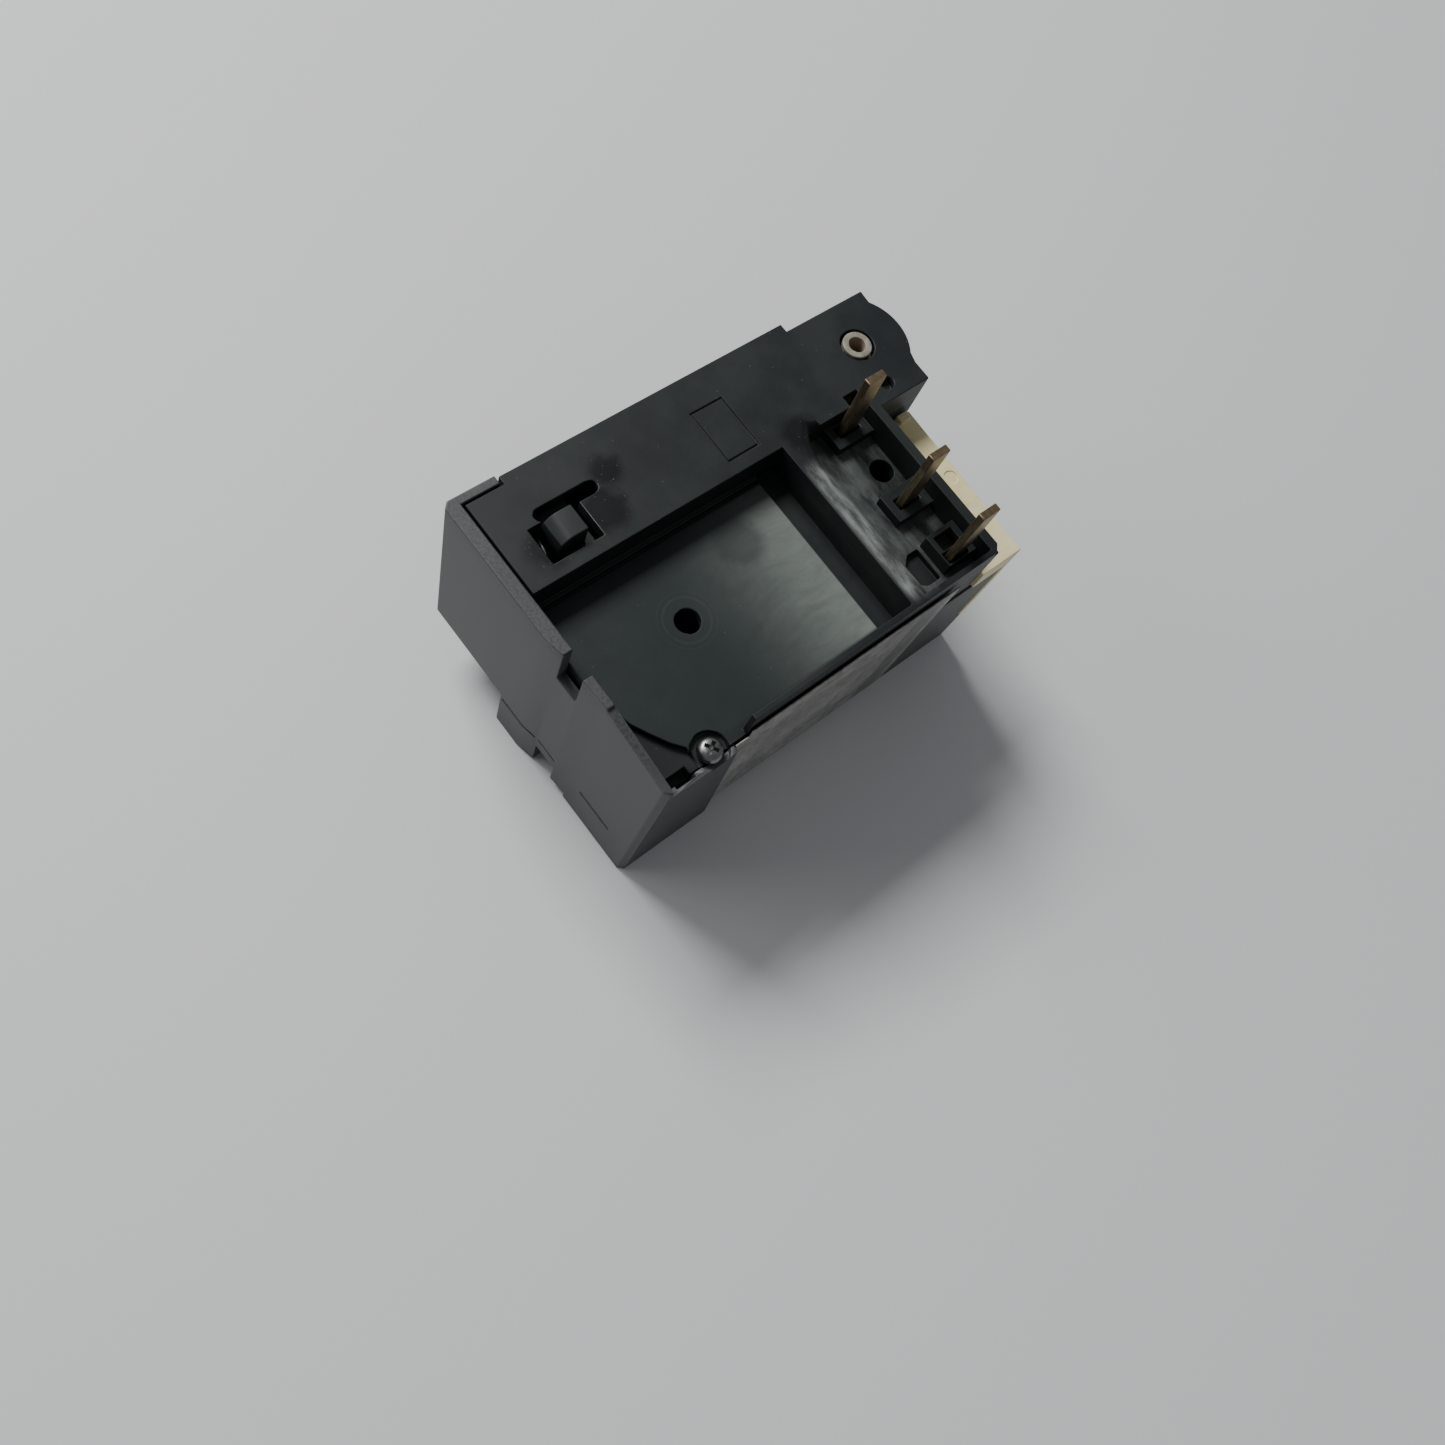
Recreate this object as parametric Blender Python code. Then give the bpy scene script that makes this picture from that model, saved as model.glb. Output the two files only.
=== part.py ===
"""Plug-in three-pole thermal overload relay: the motor protection device that hangs under a contactor.

It stands with its contact blades up. X runs across the poles (mechanism side at +X, label side at -X),
-Y is the front with the dial and the buttons, +Y the mounting side, and Z=0 the face it rests on.
All sizes below are millimetres; the meshes are made in metres.
"""

import math

import bmesh
import bpy
from mathutils import Matrix, Vector

MM = 0.001

# ---- overall sizes -------------------------------------------------------------------------------
WIDTH = 45.0
BODY_HEIGHT = 37.5
BODY_LENGTH = 70.9
GAP = 0.3
STOP_PROUD = 4.1

# ---- black top housing ---------------------------------------------------------------------------
STRIP_WIDTH = 15.35
STRIP_STEP = 1.3
STRIP_STEP_FROM_FRONT = 15.65
SIDE_RETURN = 1.3
SIDE_RETURN_LENGTH = 8.1
LABEL_RETURN = 1.0
REAR_WALL = 2.05
CEILING = 1.8
INNER_REAR_WALL = 1.8
MECHANISM_WALL = 1.7
WALL = 1.6
RECESS_DEPTH = 4.8
RECESS_FROM_TROUGH = 16.6
TRENCH_WIDTH = 3.3
TRENCH_DEPTH = 1.0
LIP_WIDTH = 0.8
TROUGH_DEPTH = 4.5
TROUGH_RIM = 1.5
TROUGH_FROM_FRONT = 11.5
TROUGH_LENGTH = 10.3
SLOPE_RUN = 3.5
SLOPE_STEPS = 6
NOSE_WIDTH = 16.2
NOSE_FLAT_BACK = 1.4
MECHANISM_FLOOR = 9.5
SLOT_LENGTH = 9.6
SLOT_WIDTH = 1.9
SLOT_FROM_REAR = 8.5
SLOT_FROM_SIDE = 7.05
LOCATING_HOLE_RADIUS = 1.77
SMALL_HOLE_RADIUS = 1.1
MARK_LENGTH = 5.5
MARK_WIDTH = 8.4
MARK_DEPTH = 0.25
TRAY_DEPTH = 11.0

# ---- rear cover ----------------------------------------------------------------------------------
REAR_STEP_ONE = 0.6
REAR_STEP_TWO = 0.25
REAR_LEFT_FLAT = 5.45
REAR_RAMP = 3.0
REAR_FLAT_WIDTH = 4.0
REAR_SLOT = 0.5
SCREW_POCKET_RADIUS = 2.6

# ---- cream front cover and grey base -------------------------------------------------------------
COVER_DROP = 7.3
COVER_REACH = 8.75
COVER_FLOOR = 9.6
COVER_TAPER = 0.6
BASE_PLATE = 1.4
SEAM = 0.6
TERMINAL_WALL = 1.2
TERMINAL_HEIGHT = 9.2
AUX_FLOOR = 11.4
AUX_HEIGHT = 6.6
AUX_WALL = 0.9
LOAD_SCREW_HEIGHT = 5.6

# ---- poles ---------------------------------------------------------------------------------------
BLADE_THICKNESS = 1.1
BLADE_WIDTH = 3.2
BLADE_PROUD = 9.0
BLADE_OFFSETS = (2.7, -1.2, -2.1)
BARRIER = 1.0
BIMETAL_THICKNESS = 1.0
BIMETAL_WIDTH = 6.0
BIMETAL_REAR = 28.5
TONGUE_WIDTH = 3.0
HEATER_LOW = 8.5
SLIDE_THICKNESS = 1.8
SLIDE_TRAVEL = 1.5
BOSS_WIDTH = 4.5
BOSS_HEIGHT = 1.7

# ---- mechanism -----------------------------------------------------------------------------------
DIAL_ARC = 7.96
DIAL_RADIUS = 7.3
DIAL_HEIGHT = 4.0
AXLE_RADIUS = 2.15
AXLE_BORE = 1.25
AXLE_PROUD = 0.05
AXLE_CLEARANCE = 0.4
CAM_RADIUS = 2.6
CAM_OFFSET = 0.6
BUTTON_SIZE = 6.0
STEM_WIDTH = 3.0
RESET_PROUD = 2.6
SPRING_WIRE = 0.25
SPRING_RADIUS = 2.6
SPRING_TURNS = 6
PIN_RADIUS = 0.8
LEVER_PIVOT = 20.0
LEVER_REACH = 3.5
EAR_GAP = 0.6
EAR_THICKNESS = 1.5
ROCKER_REACH = 2.3
ROCKER_EAR = 1.1
HOOK_PROUD = 1.6

# ---- fasteners -----------------------------------------------------------------------------------
COVER_SCREW_HEAD = 1.75
COVER_SCREW_HEIGHT = 1.5
COVER_SHANK = 0.68
TERMINAL_SCREW_HEAD = 3.0
TERMINAL_SHANK = 1.6
AUX_SCREW_HEAD = 2.3
AUX_SHANK = 1.0
SHANK_ROOM = 0.35

# ---- planes that several pieces share ------------------------------------------------------------
X_RIGHT = WIDTH / 2
X_LEFT = -WIDTH / 2
Y_REAR = (BODY_LENGTH + STOP_PROUD) / 2
Y_FRONT = Y_REAR - BODY_LENGTH
Z_TOP = BODY_HEIGHT
X_STRIP = X_RIGHT - 0.4
X_STRIP_REAR = X_RIGHT - SIDE_RETURN - GAP
X_STRIP_FRONT = X_STRIP - STRIP_STEP
X_STRIP_IN = X_STRIP - STRIP_WIDTH
X_DIVIDER = X_STRIP_IN + WALL
X_NOSE_IN = X_STRIP_FRONT - NOSE_WIDTH
X_LABEL = X_LEFT + LABEL_RETURN + GAP
Y_HOUSING = Y_REAR - REAR_WALL - GAP
Y_STEP = Y_FRONT + STRIP_STEP_FROM_FRONT
Y_NOSE = Y_FRONT + NOSE_FLAT_BACK
Y_RIM = Y_FRONT + TROUGH_FROM_FRONT
Y_TROUGH_FRONT = Y_RIM + TROUGH_RIM
Y_TROUGH_REAR = Y_TROUGH_FRONT + TROUGH_LENGTH
Y_RECESS = Y_RIM + RECESS_FROM_TROUGH
Y_POLE = Y_RIM + 6.3
Z_RECESS = Z_TOP - RECESS_DEPTH
Z_TROUGH = Z_TOP - TROUGH_DEPTH
Z_TRAY = Z_TOP - TRAY_DEPTH
Z_COVER = Z_TOP - COVER_DROP
Z_CEILING = Z_TOP - CEILING
Z_BLADE = Z_TOP + BLADE_PROUD
X_DIAL = X_STRIP - 8.06
Y_DIAL = Y_FRONT + DIAL_ARC
Z_DIAL_TOP = Z_CEILING - 0.5
Z_DIAL = Z_DIAL_TOP - DIAL_HEIGHT
POLE_ROOM = X_STRIP_IN - X_LABEL - WALL
CHAMBER = (POLE_ROOM - 2 * BARRIER) / 3
POLE_X = [X_STRIP_IN - CHAMBER / 2 - i * (CHAMBER + BARRIER) for i in range(3)]
BLADE_X = [POLE_X[i] + BLADE_OFFSETS[i] for i in range(3)]
Y_BIMETAL = Y_REAR - BIMETAL_REAR - BIMETAL_WIDTH / 2
Z_SLIDE_TOP = Z_RECESS - WALL - 0.4
Z_SLIDE = Z_SLIDE_TOP - SLIDE_THICKNESS
Y_BLOCK_REAR = Y_POLE - 0.8
Y_COVER_FRONT = Y_RIM - COVER_REACH
Y_BLOCK_FRONT = Y_COVER_FRONT + WALL + 0.5
X_BLOCK_LEFT = X_LABEL - 0.3
X_BLOCK_RIGHT = min(X_NOSE_IN, X_STRIP_IN - GAP) - GAP
Z_BLOCK = Z_TRAY - SEAM
CELL = (X_BLOCK_RIGHT - X_BLOCK_LEFT - 4 * TERMINAL_WALL) / 3
TERMINAL_X = [X_BLOCK_RIGHT - TERMINAL_WALL - CELL / 2 - i * (CELL + TERMINAL_WALL) for i in range(3)]
AUX_CELL = (X_BLOCK_RIGHT - X_BLOCK_LEFT - 5 * AUX_WALL) / 4
AUX_X = [X_BLOCK_RIGHT - AUX_WALL - AUX_CELL / 2 - i * (AUX_CELL + AUX_WALL) for i in range(4)]
Z_TAIL = BASE_PLATE + 2.0
X_BUTTON = X_DIAL - 0.75
Z_STOP = Z_DIAL - BUTTON_SIZE / 2 - 0.9
Z_RESET = Z_STOP - BUTTON_SIZE - 2.6
Y_BULKHEAD = Y_FRONT + 13.9
X_COVER_SCREW = X_LABEL + 0.9
Y_COVER_SCREW = Y_REAR - 10.0
Z_SCREW_SEAT = Z_RECESS - 0.9
Z_FRAME = MECHANISM_FLOOR + MECHANISM_WALL + GAP
X_LEVER = X_DIVIDER + 2.15
Y_ROCKER = Y_BIMETAL - 11.0
Z_ROCKER = MECHANISM_FLOOR + 8.4
X_ROCKER = X_BUTTON + 1.9
X_LEAF = X_ROCKER + 1.1
LEVER_EAR = LEVER_REACH + EAR_GAP
X_LATCH = X_STRIP - SLOT_FROM_SIDE
Y_LATCH = Y_REAR - SLOT_FROM_REAR


def clear_scene():
    for obj in list(bpy.data.objects):
        bpy.data.objects.remove(obj, do_unlink=True)


def plastic(name, colour, roughness):
    return surface(name, colour, roughness, 0.0)


def metal(name, colour, roughness):
    return surface(name, colour, roughness, 1.0)


def surface(name, colour, roughness, metallic):
    made = bpy.data.materials.new(name)
    made.use_nodes = True
    shader = made.node_tree.nodes["Principled BSDF"]
    shader.inputs["Base Color"].default_value = (*colour, 1.0)
    shader.inputs["Roughness"].default_value = roughness
    shader.inputs["Metallic"].default_value = metallic
    made.diffuse_color = (*colour, 1.0)
    return made


def finish(mesh_data, name, made_of=None, pivot=(0, 0, 0), smooth=False):
    """Turns a bmesh in millimetres into a named object in metres with its origin on the pivot."""
    bmesh.ops.recalc_face_normals(mesh_data, faces=mesh_data.faces[:])
    bmesh.ops.translate(mesh_data, verts=mesh_data.verts[:], vec=-Vector(pivot))
    bmesh.ops.scale(mesh_data, verts=mesh_data.verts[:], vec=(MM, MM, MM))
    mesh = bpy.data.meshes.new(name)
    mesh_data.to_mesh(mesh)
    mesh_data.free()
    if smooth:
        mesh.shade_smooth()
        mesh.set_sharp_from_angle(angle=math.radians(35))
    obj = bpy.data.objects.new(name, mesh)
    obj.location = Vector(pivot) * MM
    bpy.context.scene.collection.objects.link(obj)
    if made_of:
        mesh.materials.append(made_of)
    return obj


def prism(points, low, high):
    """A closed outline in X and Y, raised from one height to another."""
    shape = bmesh.new()
    face = shape.faces.new([shape.verts.new((x, y, low)) for x, y in points])
    top = bmesh.ops.extrude_face_region(shape, geom=[face])
    raised = [part for part in top["geom"] if isinstance(part, bmesh.types.BMVert)]
    bmesh.ops.translate(shape, verts=raised, vec=(0, 0, high - low))
    return shape


def prism_x(points, low, high):
    """A closed outline in Y and Z, drawn out along X."""
    shape = prism(points, low, high)
    turn = Matrix(((0, 0, 1, 0), (1, 0, 0, 0), (0, 1, 0, 0), (0, 0, 0, 1)))
    bmesh.ops.transform(shape, matrix=turn, verts=shape.verts[:])
    return shape


def prism_y(points, low, high):
    """A closed outline in X and Z, drawn out along Y."""
    shape = prism(points, low, high)
    turn = Matrix(((1, 0, 0, 0), (0, 0, 1, 0), (0, 1, 0, 0), (0, 0, 0, 1)))
    bmesh.ops.transform(shape, matrix=turn, verts=shape.verts[:])
    return shape


def loft(rings):
    """A closed body through outlines of equal point count, each at its own height."""
    shape = bmesh.new()
    levels = [[shape.verts.new((x, y, z)) for x, y in outline] for outline, z in rings]
    for low, high in zip(levels, levels[1:]):
        for k in range(len(low)):
            n = (k + 1) % len(low)
            shape.faces.new((low[k], low[n], high[n], high[k]))
    shape.faces.new(levels[0])
    shape.faces.new(levels[-1])
    return shape


def box(x, y, z):
    """A block between two values along each axis."""
    x, y, z = sorted(x), sorted(y), sorted(z)
    return prism([(x[0], y[0]), (x[1], y[0]), (x[1], y[1]), (x[0], y[1])], z[0], z[1])


AXES = {
    "X": Matrix.Rotation(math.radians(90), 4, "Y"),
    "Y": Matrix.Rotation(math.radians(-90), 4, "X"),
    "Z": Matrix.Identity(4),
}


def rod(centre, radius, start, end, axis="Z", sides=24, top_radius=None):
    """A round bar about a line through the centre, from start to end along the axis."""
    shape = bmesh.new()
    bmesh.ops.create_cone(shape, cap_ends=True, segments=sides, radius1=radius,
                          radius2=radius if top_radius is None else top_radius, depth=end - start)
    bmesh.ops.translate(shape, verts=shape.verts[:], vec=(0, 0, (start + end) / 2))
    bmesh.ops.transform(shape, matrix=AXES[axis], verts=shape.verts[:])
    place = {"X": (0, centre[0], centre[1]), "Y": (centre[0], 0, centre[1]), "Z": (*centre, 0)}[axis]
    bmesh.ops.translate(shape, verts=shape.verts[:], vec=place)
    return shape


def reshape(target, operation, shapes):
    """Joins or cuts each shape with a Boolean whose other body stays in the scene as a hidden helper."""
    for shape in shapes:
        helper = finish(shape, "helper_" + target.name)
        helper.hide_render = True
        helper.display_type = "WIRE"
        helper.parent = target
        helper.matrix_parent_inverse = target.matrix_world.inverted()
        modifier = target.modifiers.new(operation.lower(), "BOOLEAN")
        modifier.operation = operation
        modifier.object = helper
        modifier.solver = "EXACT"


def join(target, *shapes):
    bpy.context.view_layer.update()
    reshape(target, "UNION", shapes)


def cut(target, *shapes):
    bpy.context.view_layer.update()
    reshape(target, "DIFFERENCE", shapes)


def arc(centre, radius, start, end, steps):
    """Points along a circle from one angle to another, in degrees."""
    angles = [math.radians(start + (end - start) * i / steps) for i in range(steps + 1)]
    return [(centre[0] + radius * math.cos(a), centre[1] + radius * math.sin(a)) for a in angles]


def ridged_disc(centre, radius, depth, count, low, high):
    """A thumb wheel: a disc whose rim is cut into flat teeth."""
    points = []
    for i in range(count):
        for part, reach in ((0.0, radius), (0.45, radius), (0.55, radius - depth), (0.9, radius - depth)):
            angle = 2 * math.pi * (i + part) / count
            points.append((centre[0] + reach * math.cos(angle), centre[1] + reach * math.sin(angle)))
    return prism(points, low, high)


def coil(centre, radius, wire, start, end, turns):
    """A closed helical wire about a line along Y, with six sides."""
    sides, steps = 6, turns * 14
    shape = bmesh.new()
    rings = []
    for i in range(steps + 1):
        turn = 2 * math.pi * turns * i / steps
        y = start + (end - start) * i / steps
        middle = Vector((math.cos(turn) * radius, y, math.sin(turn) * radius))
        outward = Vector((math.cos(turn), 0, math.sin(turn)))
        along = Vector((0, 1, 0))
        ring = []
        for k in range(sides):
            a = 2 * math.pi * k / sides
            point = middle + (outward * math.cos(a) + along * math.sin(a)) * wire
            ring.append(shape.verts.new(point + Vector((centre[0], 0, centre[1]))))
        rings.append(ring)
    for first, second in zip(rings, rings[1:]):
        for k in range(sides):
            shape.faces.new((first[k], first[(k + 1) % sides], second[(k + 1) % sides], second[k]))
    shape.faces.new(rings[0])
    shape.faces.new(rings[-1])
    return shape


# ---- casings -------------------------------------------------------------------------------------

def top_housing(made_of):
    """The black moulding: mechanism strip, plug recess, blade trough and the label-side wall."""
    front_arc = arc((X_DIAL, Y_DIAL), DIAL_ARC, -53.8, -127.9, 14)
    outline = [
        (X_LABEL, Y_HOUSING), (X_LABEL, Y_RIM + 1), (X_LABEL + 1, Y_RIM), (X_NOSE_IN, Y_RIM),
        (X_NOSE_IN, Y_NOSE + 0.75), (X_NOSE_IN + 3, Y_NOSE + 0.75), *reversed(front_arc),
        (X_STRIP_FRONT, Y_NOSE), (X_STRIP_FRONT, Y_STEP), (X_STRIP, Y_STEP),
        (X_STRIP, Y_REAR - SIDE_RETURN_LENGTH), (X_STRIP_REAR, Y_REAR - SIDE_RETURN_LENGTH),
        (X_STRIP_REAR, Y_HOUSING),
    ]
    housing = finish(prism(outline, Z_CEILING - 0.2, Z_TOP), "top_housing", made_of)
    mechanism_height = (MECHANISM_FLOOR, Z_CEILING + 0.8)
    latch_rear = Y_REAR - SIDE_RETURN_LENGTH
    join(
        housing,
        box((X_LABEL, X_DIVIDER), (Y_POLE, Y_HOUSING), (BASE_PLATE + GAP, Z_CEILING + 0.8)),
        box((X_LABEL, X_DIVIDER), (Y_RIM, Y_POLE + 2), (Z_TRAY, Z_CEILING + 0.8)),
        box((X_STRIP_IN - 0.3, X_STRIP), (Y_STEP, latch_rear), mechanism_height),
        box((X_STRIP_IN - 0.3, X_STRIP_REAR), (Y_STEP, Y_HOUSING), mechanism_height),
        box((X_NOSE_IN, X_STRIP_FRONT), (Y_NOSE + 0.75, Y_STEP + 1), mechanism_height),
    )
    side_wall = (X_LABEL + LIP_WIDTH, X_STRIP_IN)
    room = (MECHANISM_FLOOR + MECHANISM_WALL, Z_CEILING)
    cut(
        housing,
        # The plug recess, its trench along the front wall and the rear part without a lip.
        box(side_wall, (Y_RECESS, Y_REAR), (Z_RECESS, Z_TOP + 1)),
        box((X_LABEL + LIP_WIDTH + 0.4, X_STRIP_IN), (Y_RECESS, Y_RECESS + TRENCH_WIDTH),
            (Z_RECESS - TRENCH_DEPTH, Z_TOP)),
        box((X_LABEL - 1, X_LABEL + 3), (Y_REAR - 15.2, Y_REAR), (Z_RECESS, Z_TOP + 1)),
        # The blade trough and the open tray below it.
        box(side_wall, (Y_TROUGH_FRONT, Y_TROUGH_REAR), (Z_TROUGH, Z_TOP + 1)),
        box((X_LABEL + WALL, X_STRIP_IN - GAP), (Y_TROUGH_FRONT, Y_POLE + 3),
            (Z_TRAY - 1, Z_TROUGH - WALL)),
        # The rooms for the poles and for the mechanism.
        box((X_LABEL + WALL, X_STRIP_IN), (Y_POLE + WALL, Y_HOUSING - INNER_REAR_WALL),
            (0, Z_RECESS - WALL)),
        box((X_DIVIDER, X_STRIP - 1.5), (Y_STEP + 0.3, Y_HOUSING - INNER_REAR_WALL), room),
        box((X_DIVIDER, X_STRIP_FRONT - 1.5), (Y_NOSE + 2.2, Y_STEP + 1), room),
        rod((X_DIAL, Y_DIAL), DIAL_RADIUS + 0.4, Z_DIAL - 0.5, Z_CEILING, sides=32),
        box((X_NOSE_IN + 1.6, X_STRIP + 1), (Y_FRONT - 1, Y_NOSE + 3), (Z_DIAL - 0.5, Z_CEILING)),
        box((X_STRIP - 2, X_STRIP + 1), (Y_STEP + 0.3, latch_rear - 2.8), room),
        box((X_STRIP_IN - 1, X_DIVIDER + 1), (Y_BIMETAL - LEVER_EAR, Y_BIMETAL + LEVER_EAR),
            (Z_SLIDE - 0.4, Z_RECESS - WALL)),
        *[box((x - 2.3, x + 2.3), (Y_POLE - 1, Y_POLE + WALL + 1), (0, Z_TAIL + 0.4))
          for x in TERMINAL_X],
        trough_slope(),
    )
    hole = BUTTON_SIZE / 2 + GAP
    cut(
        housing,
        rod((X_DIAL, Y_DIAL), AXLE_RADIUS + AXLE_CLEARANCE, Z_CEILING - 1, Z_TOP + 1, sides=24),
        rod((X_DIAL - 6.9, Y_DIAL + 0.3), SMALL_HOLE_RADIUS, Z_TOP - 1.3, Z_TOP + 1, sides=14),
        rod((POLE_X[1] + 1.35, Y_REAR - 18.45), LOCATING_HOLE_RADIUS, Z_RECESS - WALL - 1, Z_TOP,
            sides=20),
        rod((BLADE_X[1] + 5.7, Y_TROUGH_FRONT + 2.1), LOCATING_HOLE_RADIUS, Z_TROUGH - WALL - 1,
            Z_TOP, sides=20),
        prism(slot_outline(), Z_CEILING - 1, Z_TOP + 1),
        box((X_LATCH - 6.35, X_LATCH - 0.85), (Y_LATCH - 6.1, Y_LATCH + 1.7), (Z_CEILING - 1, Z_TOP + 1)),
        rod((X_COVER_SCREW, Y_COVER_SCREW), SCREW_POCKET_RADIUS, Z_SCREW_SEAT, Z_TOP, sides=20),
        rod((X_COVER_SCREW, Y_COVER_SCREW), COVER_SHANK + GAP, Z_RECESS - 9.6, Z_TOP, sides=12),
        *[box((X_BUTTON - hole, X_BUTTON + hole), (Y_FRONT - 1, Y_NOSE + 3), (z - hole, z + hole))
          for z in (Z_STOP, Z_RESET)],
        box((X_BUTTON - 1.8, X_BUTTON + 1.8), (Y_FRONT - 1, Y_NOSE + 3),
            (MECHANISM_FLOOR + 2.1, MECHANISM_FLOOR + 4.3)),
    )
    # A narrow ledge with a groove beside it runs along the foot of the recess wall.
    ledge = X_STRIP_IN - 0.6
    ledge_front = Y_RECESS + TRENCH_WIDTH
    join(housing, box((ledge, X_STRIP_IN + 0.3), (ledge_front, Y_HOUSING),
                      (Z_RECESS - 0.8, Z_RECESS + 0.5)))
    cut(
        housing,
        box((ledge - 0.35, ledge), (ledge_front, Y_REAR), (Z_RECESS - 0.4, Z_TOP)),
        prism(rear_pocket_outline(), Z_RECESS - 1.1, Z_TOP),
        box((X_LABEL - 1, X_LABEL + 1.2), (Y_REAR - 6.4, Y_REAR - 3.4), (Z_RECESS - 3, Z_TOP)),
    )
    frame_mark(housing)
    blade_bosses(housing)
    return housing


def rear_pocket_outline():
    """The sunken corner of the recess floor behind the rear cover's label-side half."""
    left, rear = X_LABEL, Y_HOUSING
    return [
        (left + 10.9, rear + 1), (left + 10.9, rear - 1.0), (left + 9.2, rear - 1.4),
        (left + 6.9, rear - 2.6), (left + 4.5, rear - 4.0), (left + 2.8, rear - 5.4),
        (left - 1, rear - 5.4), (left - 1, rear + 1),
    ]


def trough_slope():
    """The rolled slope from the ridge down to the trough floor, turning the corner beside the strip."""
    left, right = X_LABEL + LIP_WIDTH, X_STRIP_IN
    rear, middle, front = Y_TROUGH_REAR + SLOPE_RUN, Y_TROUGH_REAR, Y_TROUGH_REAR - 2.0
    ridge = [
        (left, rear), (right - 5.2, rear), (right - 0.9, rear - 1.4), (right + 2.2, middle),
        (right + 0.9, front), (left, front),
    ]
    floor = [
        (left, middle), (right - 3.5, middle), (right - 1.4, middle - 0.5), (right - 0.4, middle - 1.3),
        (right, front), (left, front),
    ]
    rings = []
    for i in range(SLOPE_STEPS + 1):
        turn = math.pi / 2 * i / SLOPE_STEPS
        down = math.cos(turn)
        outline = [(a * (1 - down) + c * down, b * (1 - down) + d * down)
                   for (a, b), (c, d) in zip(ridge, floor)]
        rings.append((outline, Z_TROUGH + TROUGH_DEPTH * math.sin(turn)))
    rings.append((ridge, Z_TOP + 1))
    return loft(rings)


def slot_outline():
    """The round-ended guide slot of the latch, along Y."""
    half = SLOT_WIDTH / 2
    rear, front = Y_LATCH - half, Y_LATCH - SLOT_LENGTH + half
    return arc((X_LATCH, rear), half, 0, 180, 6) + arc((X_LATCH, front), half, 180, 360, 6)


def frame_mark(housing):
    """A shallow moulded rectangle on the strip: four thin grooves."""
    right, rear = X_STRIP - 5.0, Y_REAR - 34.9
    left, front = right - MARK_WIDTH, rear - MARK_LENGTH
    line, depth = 0.22, (Z_TOP - MARK_DEPTH, Z_TOP + 1)
    cut(
        housing,
        box((left, right), (rear - line, rear), depth),
        box((left, right), (front, front + line), depth),
        box((left, left + line), (front, rear), depth),
        box((right - line, right), (front, rear), depth),
    )


def blade_bosses(housing):
    """A slotted block round each blade, standing on the trough floor; the third is a taller open frame."""
    top, rear = Z_TROUGH + BOSS_HEIGHT, Y_POLE + 1.6
    low = Z_TROUGH - 0.8
    for x in BLADE_X[:2]:
        half = BOSS_WIDTH / 2
        join(housing, box((x - half, x + half), (Y_TROUGH_FRONT - 0.4, rear), (low, top)))
    x, right = BLADE_X[2], BLADE_X[2] + 4.0
    join(housing, box((x - 1.2, right), (Y_TROUGH_FRONT + 0.1, Y_POLE + 0.6), (low, top + 0.8)))
    pocket = [
        (right - 0.2, Y_POLE + 1.1), (right - 0.2, Y_POLE + 3.0), (right - 1.6, Y_POLE + 4.6),
        (x - 0.4, Y_POLE + 4.6), (x - 1.3, Y_POLE + 3.4), (x - 1.3, Y_POLE + 1.1),
    ]
    cut(
        housing,
        box((x + 1.0, right - 0.7), (Y_TROUGH_FRONT + 1.2, Y_POLE - 0.3), (Z_TROUGH + 0.3, Z_TOP)),
        prism(pocket, Z_TROUGH - 1.0, Z_TOP),
        box((BLADE_X[1] - 2.0, BLADE_X[1] - 1.3), (Y_TROUGH_REAR - 0.8, Y_TROUGH_REAR + 2.6),
            (Z_TROUGH + 0.01, Z_TOP - 1.2)),
        box((X_STRIP_IN - 0.5, X_STRIP_IN + 1.75), (Y_TROUGH_FRONT, Y_TROUGH_FRONT + 2.5),
            (Z_TROUGH + 0.6, Z_TOP + 1)),
    )
    for x in BLADE_X:
        half = BLADE_THICKNESS / 2 + GAP
        cut(housing, box((x - half, x + half), (Y_POLE - BLADE_WIDTH - GAP, Y_POLE + GAP),
                         (Z_TROUGH - 4, Z_TOP)))


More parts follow.
